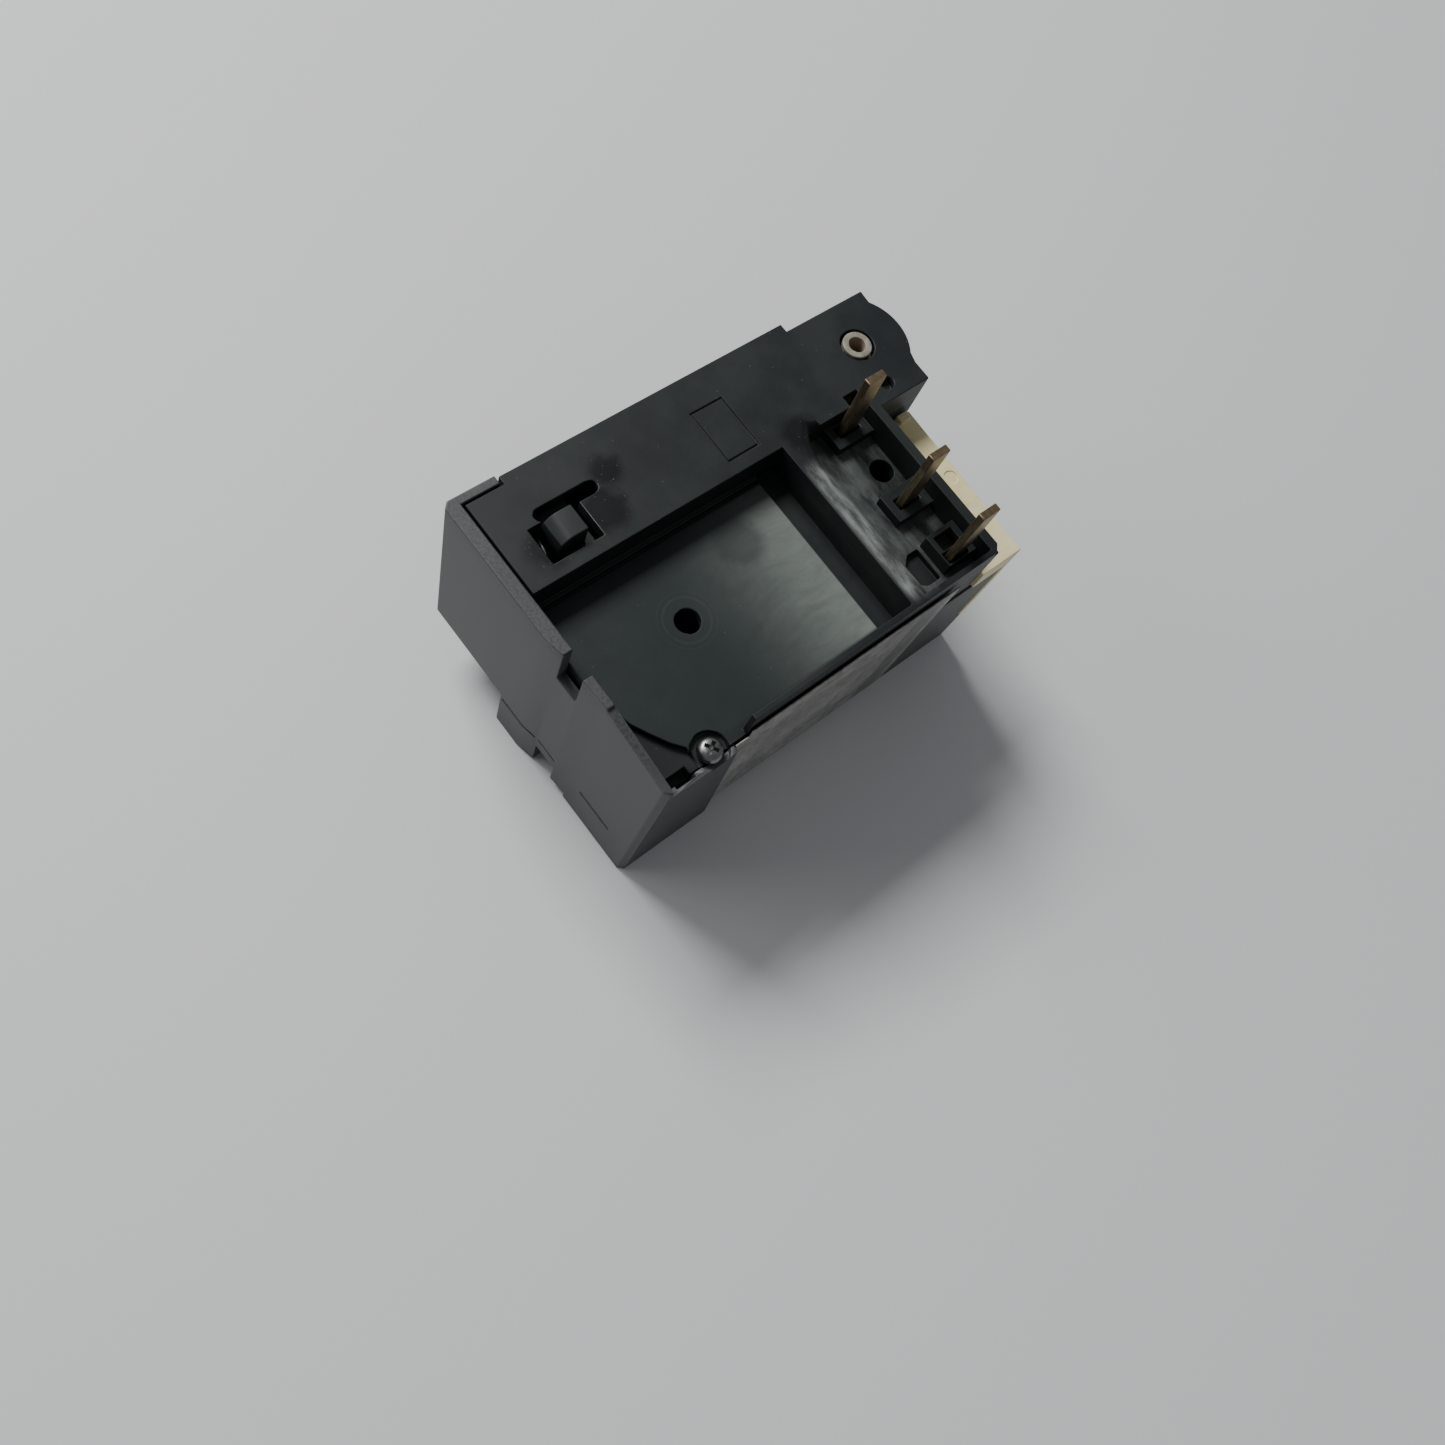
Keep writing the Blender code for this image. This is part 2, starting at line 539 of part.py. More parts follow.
def rear_cover(made_of):
    """The grey cover over the mounting side, stepped twice across its face, with a return at each side."""
    mid, right = Y_REAR - REAR_STEP_ONE, Y_REAR - REAR_STEP_ONE - REAR_STEP_TWO
    edge = X_STRIP_IN - REAR_LEFT_FLAT
    second = edge - REAR_RAMP - REAR_FLAT_WIDTH
    inner = Y_HOUSING + GAP
    face = [
        (X_RIGHT, inner), (X_RIGHT, Y_REAR - 0.8), (X_RIGHT - 0.8, Y_REAR), (edge, Y_REAR),
        (edge - REAR_RAMP, mid), (second, mid), (second - REAR_RAMP, right), (X_LEFT + 0.8, right),
        (X_LEFT, right - 0.8), (X_LEFT, inner),
    ]
    low = MECHANISM_FLOOR - 0.5
    cover = finish(prism(face, 0, Z_TOP), "rear_cover", made_of)
    label_side = [
        (inner + 0.5, 0), (Y_REAR - 16.85, 0), (Y_REAR - 12.85, Z_RECESS + 0.2),
        (inner + 0.5, Z_RECESS + 0.2),
    ]
    join(
        cover,
        box((X_RIGHT - SIDE_RETURN, X_RIGHT), (Y_REAR - SIDE_RETURN_LENGTH + GAP, inner + 0.5),
            (low, Z_TOP)),
        prism_x(label_side, X_LEFT, X_LEFT + LABEL_RETURN),
    )
    slot_low = MECHANISM_FLOOR - 1.7
    slot_z = (slot_low, slot_low + REAR_SLOT)
    across = (Y_REAR - 20, Y_REAR + 1)
    cut(
        cover,
        box((X_STRIP_IN - 0.4, X_RIGHT + 1), across, (-1, low)),
        # The rim is notched behind the middle flat, and falls away towards the label side.
        box((second + 0.1, edge - REAR_RAMP), across, (Z_RECESS - 2.2, Z_TOP + 1)),
        prism_y([(second - 4.4, Z_TOP - 0.4), (second - 4.4, Z_TOP + 1), (X_LEFT - 1, Z_TOP + 1),
                 (X_LEFT - 1, Z_TOP - 2.6)], *across),
        # Thin slots under the left and the right flat, and a slit in the middle.
        box((edge - 2.5, X_STRIP_IN - 0.8), (Y_REAR - 0.7, Y_REAR + 1), slot_z),
        box((second - 5.5, second - 12.0), (right - 0.6, Y_REAR + 1), slot_z),
        box((edge - REAR_RAMP - 0.1, second + 0.1), (mid - 0.6, Y_REAR + 1), slot_z),
        # The lower edge steps up at both side fields and in the middle.
        box((second, edge - REAR_RAMP), across, (-1, 5.5)),
        box((second - REAR_RAMP, second), across, (-1, 1.3)),
        rod((X_COVER_SCREW, Y_COVER_SCREW), SCREW_POCKET_RADIUS, Z_SCREW_SEAT, Z_TOP, sides=20),
        box((X_LEFT + 0.55, X_LEFT + 3), (Y_REAR - 6.4, Y_REAR - 3.4), (Z_RECESS - 3, Z_TOP + 1)),
    )
    return cover


def base(made_of):
    """The grey floor of the casing with the terminal block at its front."""
    block = (Y_BLOCK_FRONT, Y_BLOCK_REAR)
    tray = finish(box((X_BLOCK_LEFT, X_BLOCK_RIGHT), block, (0, Z_BLOCK)), "base", made_of)
    join(
        tray,
        box((X_LABEL, X_STRIP_IN - GAP), (Y_BLOCK_REAR - 1, Y_HOUSING), (0, BASE_PLATE)),
        box((X_BLOCK_LEFT, X_BLOCK_RIGHT), (Y_COVER_FRONT, Y_BLOCK_FRONT + 1), (0, COVER_FLOOR - GAP)),
        *[box((x - CHAMBER / 2 - BARRIER + 0.1, x - CHAMBER / 2 - 0.1),
              (Y_POLE + WALL + 3.8, Y_HOUSING - INNER_REAR_WALL - GAP), (BASE_PLATE - 0.4, Z_SLIDE - 1.0))
          for x in POLE_X[:2]],
    )
    for x in TERMINAL_X:
        half = CELL / 2
        cut(
            tray,
            box((x - half, x + half), (Y_COVER_FRONT - 1, Y_COVER_FRONT + 9.6),
                (BASE_PLATE, TERMINAL_HEIGHT)),
            box((x - half, x + half), (Y_COVER_FRONT - 1, Y_COVER_FRONT + 5.2), (-1, BASE_PLATE + 1)),
            box((x - 2.3, x + 2.3), (Y_COVER_FRONT + 8, Y_BLOCK_REAR + 1),
                (Z_TAIL - 1.4, Z_TAIL + 0.4)),
        )
    for x in AUX_X:
        half = AUX_CELL / 2
        cut(tray, box((x - half, x + half), (Y_BLOCK_FRONT - 1, Y_BLOCK_FRONT + 6.4),
                      (AUX_FLOOR, AUX_FLOOR + AUX_HEIGHT)))
    # A hollow above the auxiliary terminals keeps the block's walls one thickness.
    cut(tray, box((X_BLOCK_LEFT + 1.5, X_BLOCK_RIGHT - 1.5), (Y_BLOCK_FRONT + 1.5, Y_BLOCK_REAR - 1.5),
                  (AUX_FLOOR + AUX_HEIGHT + 1.2, Z_BLOCK + 1)))
    return tray


def front_cover(made_of):
    """The cream cover over the terminal block, open at its back and its floor."""
    left, right = X_LABEL - 0.5, X_BLOCK_RIGHT
    front, rear = Y_COVER_FRONT, Y_RIM - GAP
    outline = [(left, rear), (left, front + COVER_TAPER), (right, front), (right, rear)]
    cover = finish(prism(outline, COVER_FLOOR, Z_COVER), "front_cover", made_of)
    join(cover, box((right - 1.3, right), (front + 1.0, front + 3.0), (Z_COVER - 1, Z_COVER + 0.8)))
    half = AUX_CELL / 2 - 0.1
    cut(
        cover,
        rod(((left + right) / 2 + 1.3, front + 1.9), 1.1, Z_COVER - 0.15, Z_COVER + 1, sides=16),
        box((left - 1, right + 1), (Y_BLOCK_FRONT - GAP, rear + 1), (COVER_FLOOR - 1, Z_BLOCK + GAP)),
        box((left + 1.5, right - 1.5), (front + WALL + COVER_TAPER, rear + 1),
            (Z_BLOCK - 1, Z_COVER - 1.5)),
        *[box((x - half, x + half), (front - 1, Y_BLOCK_FRONT + 1),
              (AUX_FLOOR + 0.1, AUX_FLOOR + AUX_HEIGHT - 0.1)) for x in AUX_X],
    )
    return cover


def side_cover(made_of):
    """The black plate that closes the mechanism room, flush with the strip's side."""
    low, high = Z_FRAME, Z_CEILING - GAP
    y = (Y_STEP + 0.6, Y_REAR - SIDE_RETURN_LENGTH - 3.1)
    return finish(box((X_STRIP - 1.2, X_STRIP), y, (low, high)), "side_cover", made_of)


def label_plate(made_of):
    """The rating label, without any print, on the label-side wall."""
    front, step = Y_POLE + 0.4, Y_REAR - 15.5
    outline = [
        (front, 2.0), (front, Z_TOP - 3.4), (step, Z_TOP - 3.4), (step, Z_RECESS - 0.4),
        (Y_REAR - 13.2, Z_RECESS - 0.4), (Y_REAR - 16.95, 2.0),
    ]
    return finish(prism_x(outline, X_LABEL - 0.55, X_LABEL - 0.35), "label_plate", made_of)


# ---- current path --------------------------------------------------------------------------------

def line_blade(number, x, made_of):
    """A flat blade that plugs into the contactor, with a foot that carries current to its heater."""
    half = BLADE_THICKNESS / 2
    foot_z = Z_TROUGH - WALL - 2.3
    blade = finish(box((x - half, x + half), (Y_POLE - BLADE_WIDTH, Y_POLE), (foot_z, Z_BLADE)),
                   f"line_blade_{number}", made_of)
    join(blade, box((x - half, x + half), (Y_POLE - BLADE_WIDTH, Y_POLE + 8.0), (foot_z, foot_z + 1.0)))
    corner = [(Y_POLE + 1, Z_BLADE - 0.9), (Y_POLE - 0.5, Z_BLADE + 1), (Y_POLE + 1, Z_BLADE + 1)]
    cut(blade, prism_x(corner, x - 2, x + 2))
    return blade


def bimetal(number, x, made_of):
    """An upright strip that bends when hot, with a tongue in the trip slide."""
    half, y = BIMETAL_THICKNESS / 2, Y_BIMETAL
    wide, tongue = BIMETAL_WIDTH / 2, TONGUE_WIDTH / 2
    strip = finish(box((x - half, x + half), (y - wide, y + wide), (Z_TAIL + GAP, Z_SLIDE - 0.6)),
                   f"bimetal_{number}", made_of)
    join(strip, box((x - half, x + half), (y - tongue, y + tongue), (Z_SLIDE - 1.6, Z_SLIDE + 1.3)))
    return strip


def heater(number, x, made_of):
    """The flat heater winding round the bimetal, as one sleeve."""
    half, y = BIMETAL_THICKNESS / 2 + 0.35, Y_BIMETAL
    reach = BIMETAL_WIDTH / 2 + 0.35
    sleeve = finish(box((x - half - 0.7, x + half + 0.7), (y - reach - 0.7, y + reach + 0.7),
                        (HEATER_LOW, Z_SLIDE - 1.3)), f"heater_{number}", made_of)
    cut(sleeve, box((x - half, x + half), (y - reach, y + reach), (HEATER_LOW - 1, Z_SLIDE)))
    return sleeve


def load_terminal(number, x, made_of):
    """A brass angle: the clamp plate at the front and a tail back to the bimetal's foot."""
    y = Y_COVER_FRONT + 8.4
    half = CELL / 2 - 0.4
    plate = finish(box((x - half, x + half), (y - 1.0, y), (BASE_PLATE + 0.4, TERMINAL_HEIGHT - 0.4)),
                   f"load_terminal_{number}", made_of)
    target, tail = POLE_X[number - 1], (Z_TAIL - 1.0, Z_TAIL)
    jog = (Y_POLE + WALL + 1.2, Y_POLE + WALL + 3.2)
    join(
        plate,
        box((x - 1.9, x + 1.9), (y - 0.5, jog[1]), tail),
        box((min(x, target) - 1.9, max(x, target) + 1.9), jog, tail),
        box((target - 1.9, target + 1.9), (jog[0], Y_BIMETAL + BIMETAL_WIDTH / 2), tail),
    )
    cut(plate, rod((x, LOAD_SCREW_HEIGHT), TERMINAL_SHANK + SHANK_ROOM, y - 2, y + 0.6, "Y", 14))
    return plate


def pan_screw(name, place, head_radius, head_height, shank_radius, head_y, tip_y, made_of):
    """A pan-head screw along Y with a cross recess, its head facing the front."""
    x, z = place
    screw = finish(rod((x, z), head_radius * 0.82, head_y, head_y + head_height, "Y", 20, head_radius),
                   name, made_of, smooth=True)
    join(screw, rod((x, z), shank_radius, head_y + head_height - 0.3, tip_y, "Y", 12))
    reach, arm = head_radius * 0.55, head_radius * 0.13
    cut(
        screw,
        box((x - reach, x + reach), (head_y - 1, head_y + head_height * 0.5), (z - arm, z + arm)),
        box((x - arm, x + arm), (head_y - 1, head_y + head_height * 0.5), (z - reach, z + reach)),
    )
    return screw


def clamp_washer(number, x, made_of):
    """The square clamp plate under a load terminal screw."""
    y = Y_COVER_FRONT + 7.0
    half = CELL / 2 - 0.5
    z = LOAD_SCREW_HEIGHT
    tall = min(half, z - BASE_PLATE - 2 * GAP, TERMINAL_HEIGHT - z - GAP)
    washer = finish(box((x - half, x + half), (y - 0.9, y), (z - tall, z + tall)),
                    f"clamp_washer_{number}", made_of)
    cut(washer, rod((x, z), TERMINAL_SHANK + SHANK_ROOM, y - 2, y + 1, "Y", 14))
    return washer


def aux_terminal(number, x, made_of):
    """One plate of the two auxiliary contact circuits."""
    y, half = Y_BLOCK_FRONT + 4.6, AUX_CELL / 2 - 0.35
    middle = AUX_FLOOR + AUX_HEIGHT / 2
    tall = AUX_HEIGHT / 2 - 0.35
    plate = finish(box((x - half, x + half), (y, y + 0.8), (middle - tall, middle + tall)),
                   f"aux_terminal_{number}", made_of)
    cut(plate, rod((x, middle), AUX_SHANK + SHANK_ROOM, y - 1, y + 2, "Y", 12))
    return plate


def cover_screw(made_of):
    """The pan-head screw in the corner of the recess that holds the housing to the base."""
    head = Z_SCREW_SEAT + GAP
    x, y = X_COVER_SCREW, Y_COVER_SCREW
    screw = finish(rod((x, y), COVER_SCREW_HEAD, head, head + COVER_SCREW_HEIGHT, sides=24,
                       top_radius=COVER_SCREW_HEAD * 0.78), "cover_screw", made_of, smooth=True)
    join(screw, rod((x, y), COVER_SHANK, head - 7.5, head + 0.4, sides=12))
    reach, arm = COVER_SCREW_HEAD * 0.58, COVER_SCREW_HEAD * 0.14
    depth = (head + COVER_SCREW_HEIGHT * 0.5, head + 3)
    cut(
        screw,
        box((x - reach, x + reach), (y - arm, y + arm), depth),
        box((x - arm, x + arm), (y - reach, y + reach), depth),
    )
    return screw


# ---- mechanism -----------------------------------------------------------------------------------

def setting_dial(made_of):
    """The current-setting thumb wheel with its hollow axle and the cam under it."""
    pivot = (X_DIAL, Y_DIAL, Z_DIAL)
    dial = finish(ridged_disc((X_DIAL, Y_DIAL), DIAL_RADIUS, 0.35, 30, Z_DIAL, Z_DIAL_TOP),
                  "setting_dial", made_of, pivot)
    join(
        dial,
        rod((X_DIAL, Y_DIAL), AXLE_RADIUS, Z_DIAL_TOP - 1, Z_TOP + AXLE_PROUD),
        rod((X_DIAL, Y_DIAL + CAM_OFFSET), CAM_RADIUS, Z_DIAL - 1.6, Z_DIAL + 1),
    )
    cut(dial, rod((X_DIAL, Y_DIAL), AXLE_BORE, Z_DIAL_TOP - 2.5, Z_TOP + 2, sides=16))
    return dial


def push_button(name, z, proud, stem_end, made_of):
    """A square push button with its flange and its stem, which runs back along Y."""
    x, half = X_BUTTON, BUTTON_SIZE / 2
    front = Y_NOSE - proud
    inner = Y_NOSE + 2.2 + GAP
    button = finish(box((x - half, x + half), (front, inner - 1.5), (z - half, z + half)), name, made_of,
                    (x, front, z))
    join(
        button,
        box((x - 2.5, x + 2.5), (inner - 2, inner + 0.5), (z - half + 0.3, z + 1.5)),
        box((x - half - 0.8, x + half + 0.8), (inner, inner + 1.2), (z - half + 0.2, z + 1.5)),
        box((x - STEM_WIDTH / 2, x + STEM_WIDTH / 2), (inner + 0.5, stem_end), (z - 2.6, z)),
    )
    return button


def button_spring(name, z, made_of):
    """The return spring between a button's flange and the bulkhead of the mechanism frame."""
    start = Y_NOSE + 2.2 + GAP + 1.2 + 0.6
    wire = coil((X_BUTTON, z - 1.3), SPRING_RADIUS, SPRING_WIRE, start, Y_BULKHEAD - 0.6, SPRING_TURNS)
    return finish(wire, name, made_of, smooth=True)


def trip_indicator(made_of):
    """The yellow tell-tale that comes out of its window when the relay has tripped."""
    x, low = X_BUTTON, MECHANISM_FLOOR + 2.4
    front = Y_NOSE + 0.9
    return finish(box((x - 1.5, x + 1.5), (front, Y_NOSE + 9), (low, low + 1.6)), "trip_indicator",
                  made_of, (x, front, low + 0.8))


def mechanism_frame(made_of):
    """The floor of the mechanism with a bulkhead for the springs and ears for both pivots."""
    x = (X_DIVIDER + 0.5, X_STRIP_FRONT - 1.9)
    low = Z_FRAME
    frame = finish(box(x, (Y_BULKHEAD, Y_BIMETAL + 8), (low, low + 1.3)), "mechanism_frame", made_of)
    lever_x = (X_LEVER - 1.25, X_LEVER + 1.45)
    ear = (LEVER_EAR, LEVER_EAR + EAR_THICKNESS)
    side = (ROCKER_REACH + 0.4, ROCKER_REACH + 0.4 + ROCKER_EAR)
    rocker_y = (Y_ROCKER - 2, Y_ROCKER + 2)
    join(
        frame,
        box(x, (Y_BULKHEAD, Y_BULKHEAD + 1.2), (low, Z_STOP + 2.2)),
        box(lever_x, (Y_BIMETAL - ear[1], Y_BIMETAL - ear[0]), (low + 1, LEVER_PIVOT + 2.4)),
        box(lever_x, (Y_BIMETAL + ear[0], Y_BIMETAL + ear[1]), (low + 1, LEVER_PIVOT + 2.4)),
        box((X_ROCKER - side[1], X_ROCKER - side[0]), rocker_y, (low + 1, Z_ROCKER + 2)),
        box((X_ROCKER + side[0], X_ROCKER + side[1]), rocker_y, (low + 1, Z_ROCKER + 2)),
    )
    half = STEM_WIDTH / 2 + 0.4
    cut(
        frame,
        *[box((X_BUTTON - half, X_BUTTON + half), (Y_BULKHEAD - 1, Y_BULKHEAD + 2), (z - 3.0, z + 0.4))
          for z in (Z_STOP, Z_RESET)],
        rod((X_LEVER, LEVER_PIVOT), PIN_RADIUS + GAP, Y_BIMETAL - 7, Y_BIMETAL + 7, "Y", 14),
        rod((Y_ROCKER, Z_ROCKER), PIN_RADIUS + GAP, X_ROCKER - 5, X_ROCKER + 5, "X", 14),
    )
    return frame


def trip_slide(made_of):
    """The bar across the three poles that the bimetals push towards the mechanism."""
    z, mid = (Z_SLIDE, Z_SLIDE_TOP), Y_BIMETAL
    end = X_LEVER - 0.6 - GAP
    bar = finish(box((X_LABEL + WALL + 0.8, end), (mid - LEVER_REACH, mid + LEVER_REACH), z),
                 "trip_slide", made_of, (end, mid, Z_SLIDE))
    reach = BIMETAL_THICKNESS / 2 + 0.4
    half = TONGUE_WIDTH / 2 + 0.4
    cut(bar, *[box((x - reach - SLIDE_TRAVEL, x + reach), (mid - half, mid + half),
                   (Z_SLIDE - 1, Z_SLIDE_TOP + 1)) for x in POLE_X])
    return bar


def trip_lever(made_of):
    """The compensating lever that the slide tips about its pin."""
    y = (Y_BIMETAL - LEVER_REACH, Y_BIMETAL + LEVER_REACH)
    lever = finish(rod((X_LEVER, LEVER_PIVOT), 1.9, *y, "Y", 20), "trip_lever", made_of,
                   (X_LEVER, Y_BIMETAL, LEVER_PIVOT))
    join(lever, box((X_LEVER - 0.6, X_LEVER + 0.6), y, (LEVER_PIVOT - 4.2, Z_SLIDE_TOP + 0.2)))
    cut(lever, rod((X_LEVER, LEVER_PIVOT), PIN_RADIUS + GAP, y[0] - 1, y[1] + 1, "Y", 14))
    return lever


def lever_pin(made_of):
    reach = LEVER_EAR + EAR_THICKNESS + 0.3
    return finish(rod((X_LEVER, LEVER_PIVOT), PIN_RADIUS, Y_BIMETAL - reach, Y_BIMETAL + reach, "Y", 14),
                  "lever_pin", made_of, smooth=True)


def contact_rocker(made_of):
    """The moving contact arm, tipped between its two leaves."""
    x = (X_ROCKER - ROCKER_REACH, X_ROCKER + ROCKER_REACH)
    rocker = finish(rod((Y_ROCKER, Z_ROCKER), 1.9, *x, "X", 20), "contact_rocker", made_of,
                    (X_ROCKER, Y_ROCKER, Z_ROCKER))
    join(
        rocker,
        box(x, (Y_ROCKER - 0.7, Y_ROCKER + 0.7), (Z_ROCKER, Z_ROCKER + 11.5)),
        rod((X_LEAF, Z_ROCKER + 9.5), 0.9, Y_ROCKER - 1.3, Y_ROCKER + 1.3, "Y", 14),
    )
    cut(rocker, rod((Y_ROCKER, Z_ROCKER), PIN_RADIUS + GAP, x[0] - 1, x[1] + 1, "X", 14))
    return rocker


def rocker_pin(made_of):
    reach = ROCKER_REACH + 0.6 + ROCKER_EAR
    return finish(rod((Y_ROCKER, Z_ROCKER), PIN_RADIUS, X_ROCKER - reach, X_ROCKER + reach, "X", 14),
                  "rocker_pin", made_of, smooth=True)


def contact_leaf(name, offset, made_of):
    """A fixed contact leaf with its rivet, standing on the mechanism frame beside the rocker."""
    y = Y_ROCKER + offset
    x, low = X_LEAF, Z_FRAME + 1.3 + GAP
    leaf = finish(box((x - 1.1, x + 1.1), (y - 0.25, y + 0.25), (low, Z_ROCKER + 11)), name, made_of)
    inward = -1 if offset > 0 else 1
    near, far = sorted((y + inward * 0.9, y))
    join(leaf, rod((x, Z_ROCKER + 9.5), 0.9, near, far, "Y", 14))
    return leaf


def mounting_latch(made_of):
    """The sliding hook that locks the relay onto the contactor's foot."""
    x, rear = X_LATCH, Y_LATCH
    pivot = (x, rear - 1.6, Z_TOP)
    crest = [
        (rear - 4.3, Z_CEILING - 1.4), (rear - 0.5, Z_CEILING - 1.4), (rear - 0.1, Z_TOP - 0.4),
        (rear - 0.3, Z_TOP + HOOK_PROUD * 0.4), (rear - 1.0, Z_TOP + HOOK_PROUD * 0.8),
        (rear - 1.9, Z_TOP + HOOK_PROUD), (rear - 4.3, Z_TOP + HOOK_PROUD),
    ]
    hook = finish(prism_x(crest, x - 5.2, x - 1.25), "mounting_latch", made_of, pivot)
    join(hook, box((x - 6.25, x + 1.75), (rear - 5.7, rear - 0.9), (Z_CEILING - 2.2, Z_CEILING - 0.5)))
    return hook


def latch_spring(made_of):
    """The spring behind the latch, in the mechanism room."""
    start = Y_LATCH - 0.5 + SPRING_WIRE + GAP
    end = Y_HOUSING - INNER_REAR_WALL - SPRING_WIRE - GAP
    wire = coil((X_LATCH - 2.5, Z_CEILING - 2.6), 1.7, SPRING_WIRE, start, end, 4)
    return finish(wire, "latch_spring", made_of, smooth=True)


def build():
    clear_scene()
    black = plastic("black_thermoset", (0.018, 0.019, 0.020), 0.42)
    grey = plastic("grey_thermoplastic", (0.060, 0.063, 0.066), 0.50)
    cream = plastic("cream_thermoplastic", (0.70, 0.62, 0.40), 0.45)
    paper = plastic("label_foil", (0.52, 0.52, 0.48), 0.55)
    red = plastic("red_button", (0.45, 0.02, 0.02), 0.40)
    blue = plastic("blue_button", (0.02, 0.08, 0.35), 0.40)
    yellow = plastic("yellow_flag", (0.75, 0.50, 0.03), 0.45)
    ivory = plastic("ivory_dial", (0.42, 0.40, 0.34), 0.50)
    natural = plastic("natural_nylon", (0.55, 0.52, 0.44), 0.50)
    bronze = metal("tinned_bronze", (0.42, 0.30, 0.16), 0.42)
    brass = metal("brass", (0.60, 0.45, 0.20), 0.35)
    steel = metal("zinc_steel", (0.52, 0.52, 0.53), 0.32)
    strip = metal("bimetal_strip", (0.50, 0.47, 0.42), 0.38)
    ribbon = metal("heater_ribbon", (0.35, 0.31, 0.27), 0.50)

    top_housing(black)
    rear_cover(grey)
    base(grey)
    front_cover(cream)
    side_cover(black)
    label_plate(paper)
    cover_screw(steel)
    for number in (1, 2, 3):
        line_blade(number, BLADE_X[number - 1], bronze)
        bimetal(number, POLE_X[number - 1], strip)
        heater(number, POLE_X[number - 1], ribbon)
        load_terminal(number, TERMINAL_X[number - 1], brass)
        clamp_washer(number, TERMINAL_X[number - 1], steel)
        pan_screw(f"load_screw_{number}", (TERMINAL_X[number - 1], LOAD_SCREW_HEIGHT),
                  TERMINAL_SCREW_HEAD, 2.2, TERMINAL_SHANK, Y_COVER_FRONT + 3.6, Y_COVER_FRONT + 9.2, steel)
    for number in (1, 2, 3, 4):
        x = AUX_X[number - 1]
        aux_terminal(number, x, brass)
        pan_screw(f"aux_screw_{number}", (x, AUX_FLOOR + AUX_HEIGHT / 2), AUX_SCREW_HEAD, 1.7,
                  AUX_SHANK, Y_BLOCK_FRONT + 1.2, Y_BLOCK_FRONT + 6.0, steel)
    setting_dial(ivory)
    push_button("stop_button", Z_STOP, STOP_PROUD + NOSE_FLAT_BACK, Y_ROCKER - 3.0, red)
    push_button("reset_button", Z_RESET, RESET_PROUD, Y_ROCKER - 4.4, blue)
    button_spring("stop_spring", Z_STOP, steel)
    button_spring("reset_spring", Z_RESET, steel)
    trip_indicator(yellow)
    mechanism_frame(natural)
    trip_slide(natural)
    trip_lever(natural)
    lever_pin(steel)
    contact_rocker(natural)
    rocker_pin(steel)
    contact_leaf("nc_contact_leaf", -2.5, brass)
    contact_leaf("no_contact_leaf", 3.9, brass)
    mounting_latch(black)
    latch_spring(steel)


build()
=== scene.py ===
"""The looks of a plug-in thermal overload relay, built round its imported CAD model."""

import math

import bmesh
import bpy
from mathutils import Matrix, Vector


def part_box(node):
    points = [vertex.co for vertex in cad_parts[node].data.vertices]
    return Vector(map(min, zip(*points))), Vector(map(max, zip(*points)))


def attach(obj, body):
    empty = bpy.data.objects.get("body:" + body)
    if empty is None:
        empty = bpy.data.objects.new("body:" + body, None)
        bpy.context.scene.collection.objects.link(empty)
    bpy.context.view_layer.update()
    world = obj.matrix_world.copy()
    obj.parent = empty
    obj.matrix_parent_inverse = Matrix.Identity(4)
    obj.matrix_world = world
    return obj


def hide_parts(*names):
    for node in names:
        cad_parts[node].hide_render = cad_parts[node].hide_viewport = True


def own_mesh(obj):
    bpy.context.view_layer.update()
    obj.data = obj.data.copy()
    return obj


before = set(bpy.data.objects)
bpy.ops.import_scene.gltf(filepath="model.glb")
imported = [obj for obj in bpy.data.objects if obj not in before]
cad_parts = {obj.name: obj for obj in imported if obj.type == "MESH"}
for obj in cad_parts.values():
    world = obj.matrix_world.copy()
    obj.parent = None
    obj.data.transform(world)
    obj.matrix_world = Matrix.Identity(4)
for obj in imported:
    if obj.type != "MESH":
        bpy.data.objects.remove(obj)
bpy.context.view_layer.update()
MM = 0.001


# ---- Black top housing ---------------------------------------------------------------------------
# One moulding of black glass-filled thermoset: the mechanism strip, the sunken plug recess and the
# blade trough. The tool left a small radius on every edge, faint swirls on the recess floor, and
# hands and dust have left greasy and pale patches since. The pale patches also carry painted light:
# a painted sheen on the recess floor, painted shade beside the strip wall and a painted highlight on
# the trough's rolled slope.

EDGE_RADIUS = 0.16 * MM
ROUNDED_BEND = math.radians(30)
FLAT_BEND = math.radians(1)
ROOM_SHARE = 0.42  # of the flat beside an edge, so that the radii of two edges never meet
RECESS_DEPTH = 4.8 * MM
TROUGH_DEPTH = 4.5 * MM
RIM_WIDTH = 1.6 * MM
RECESS_HOLE = (-4.9 * MM, 19.05 * MM)
TROUGH_RIDGE_Y = -6.6 * MM
housing_low, housing_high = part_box("top_housing")


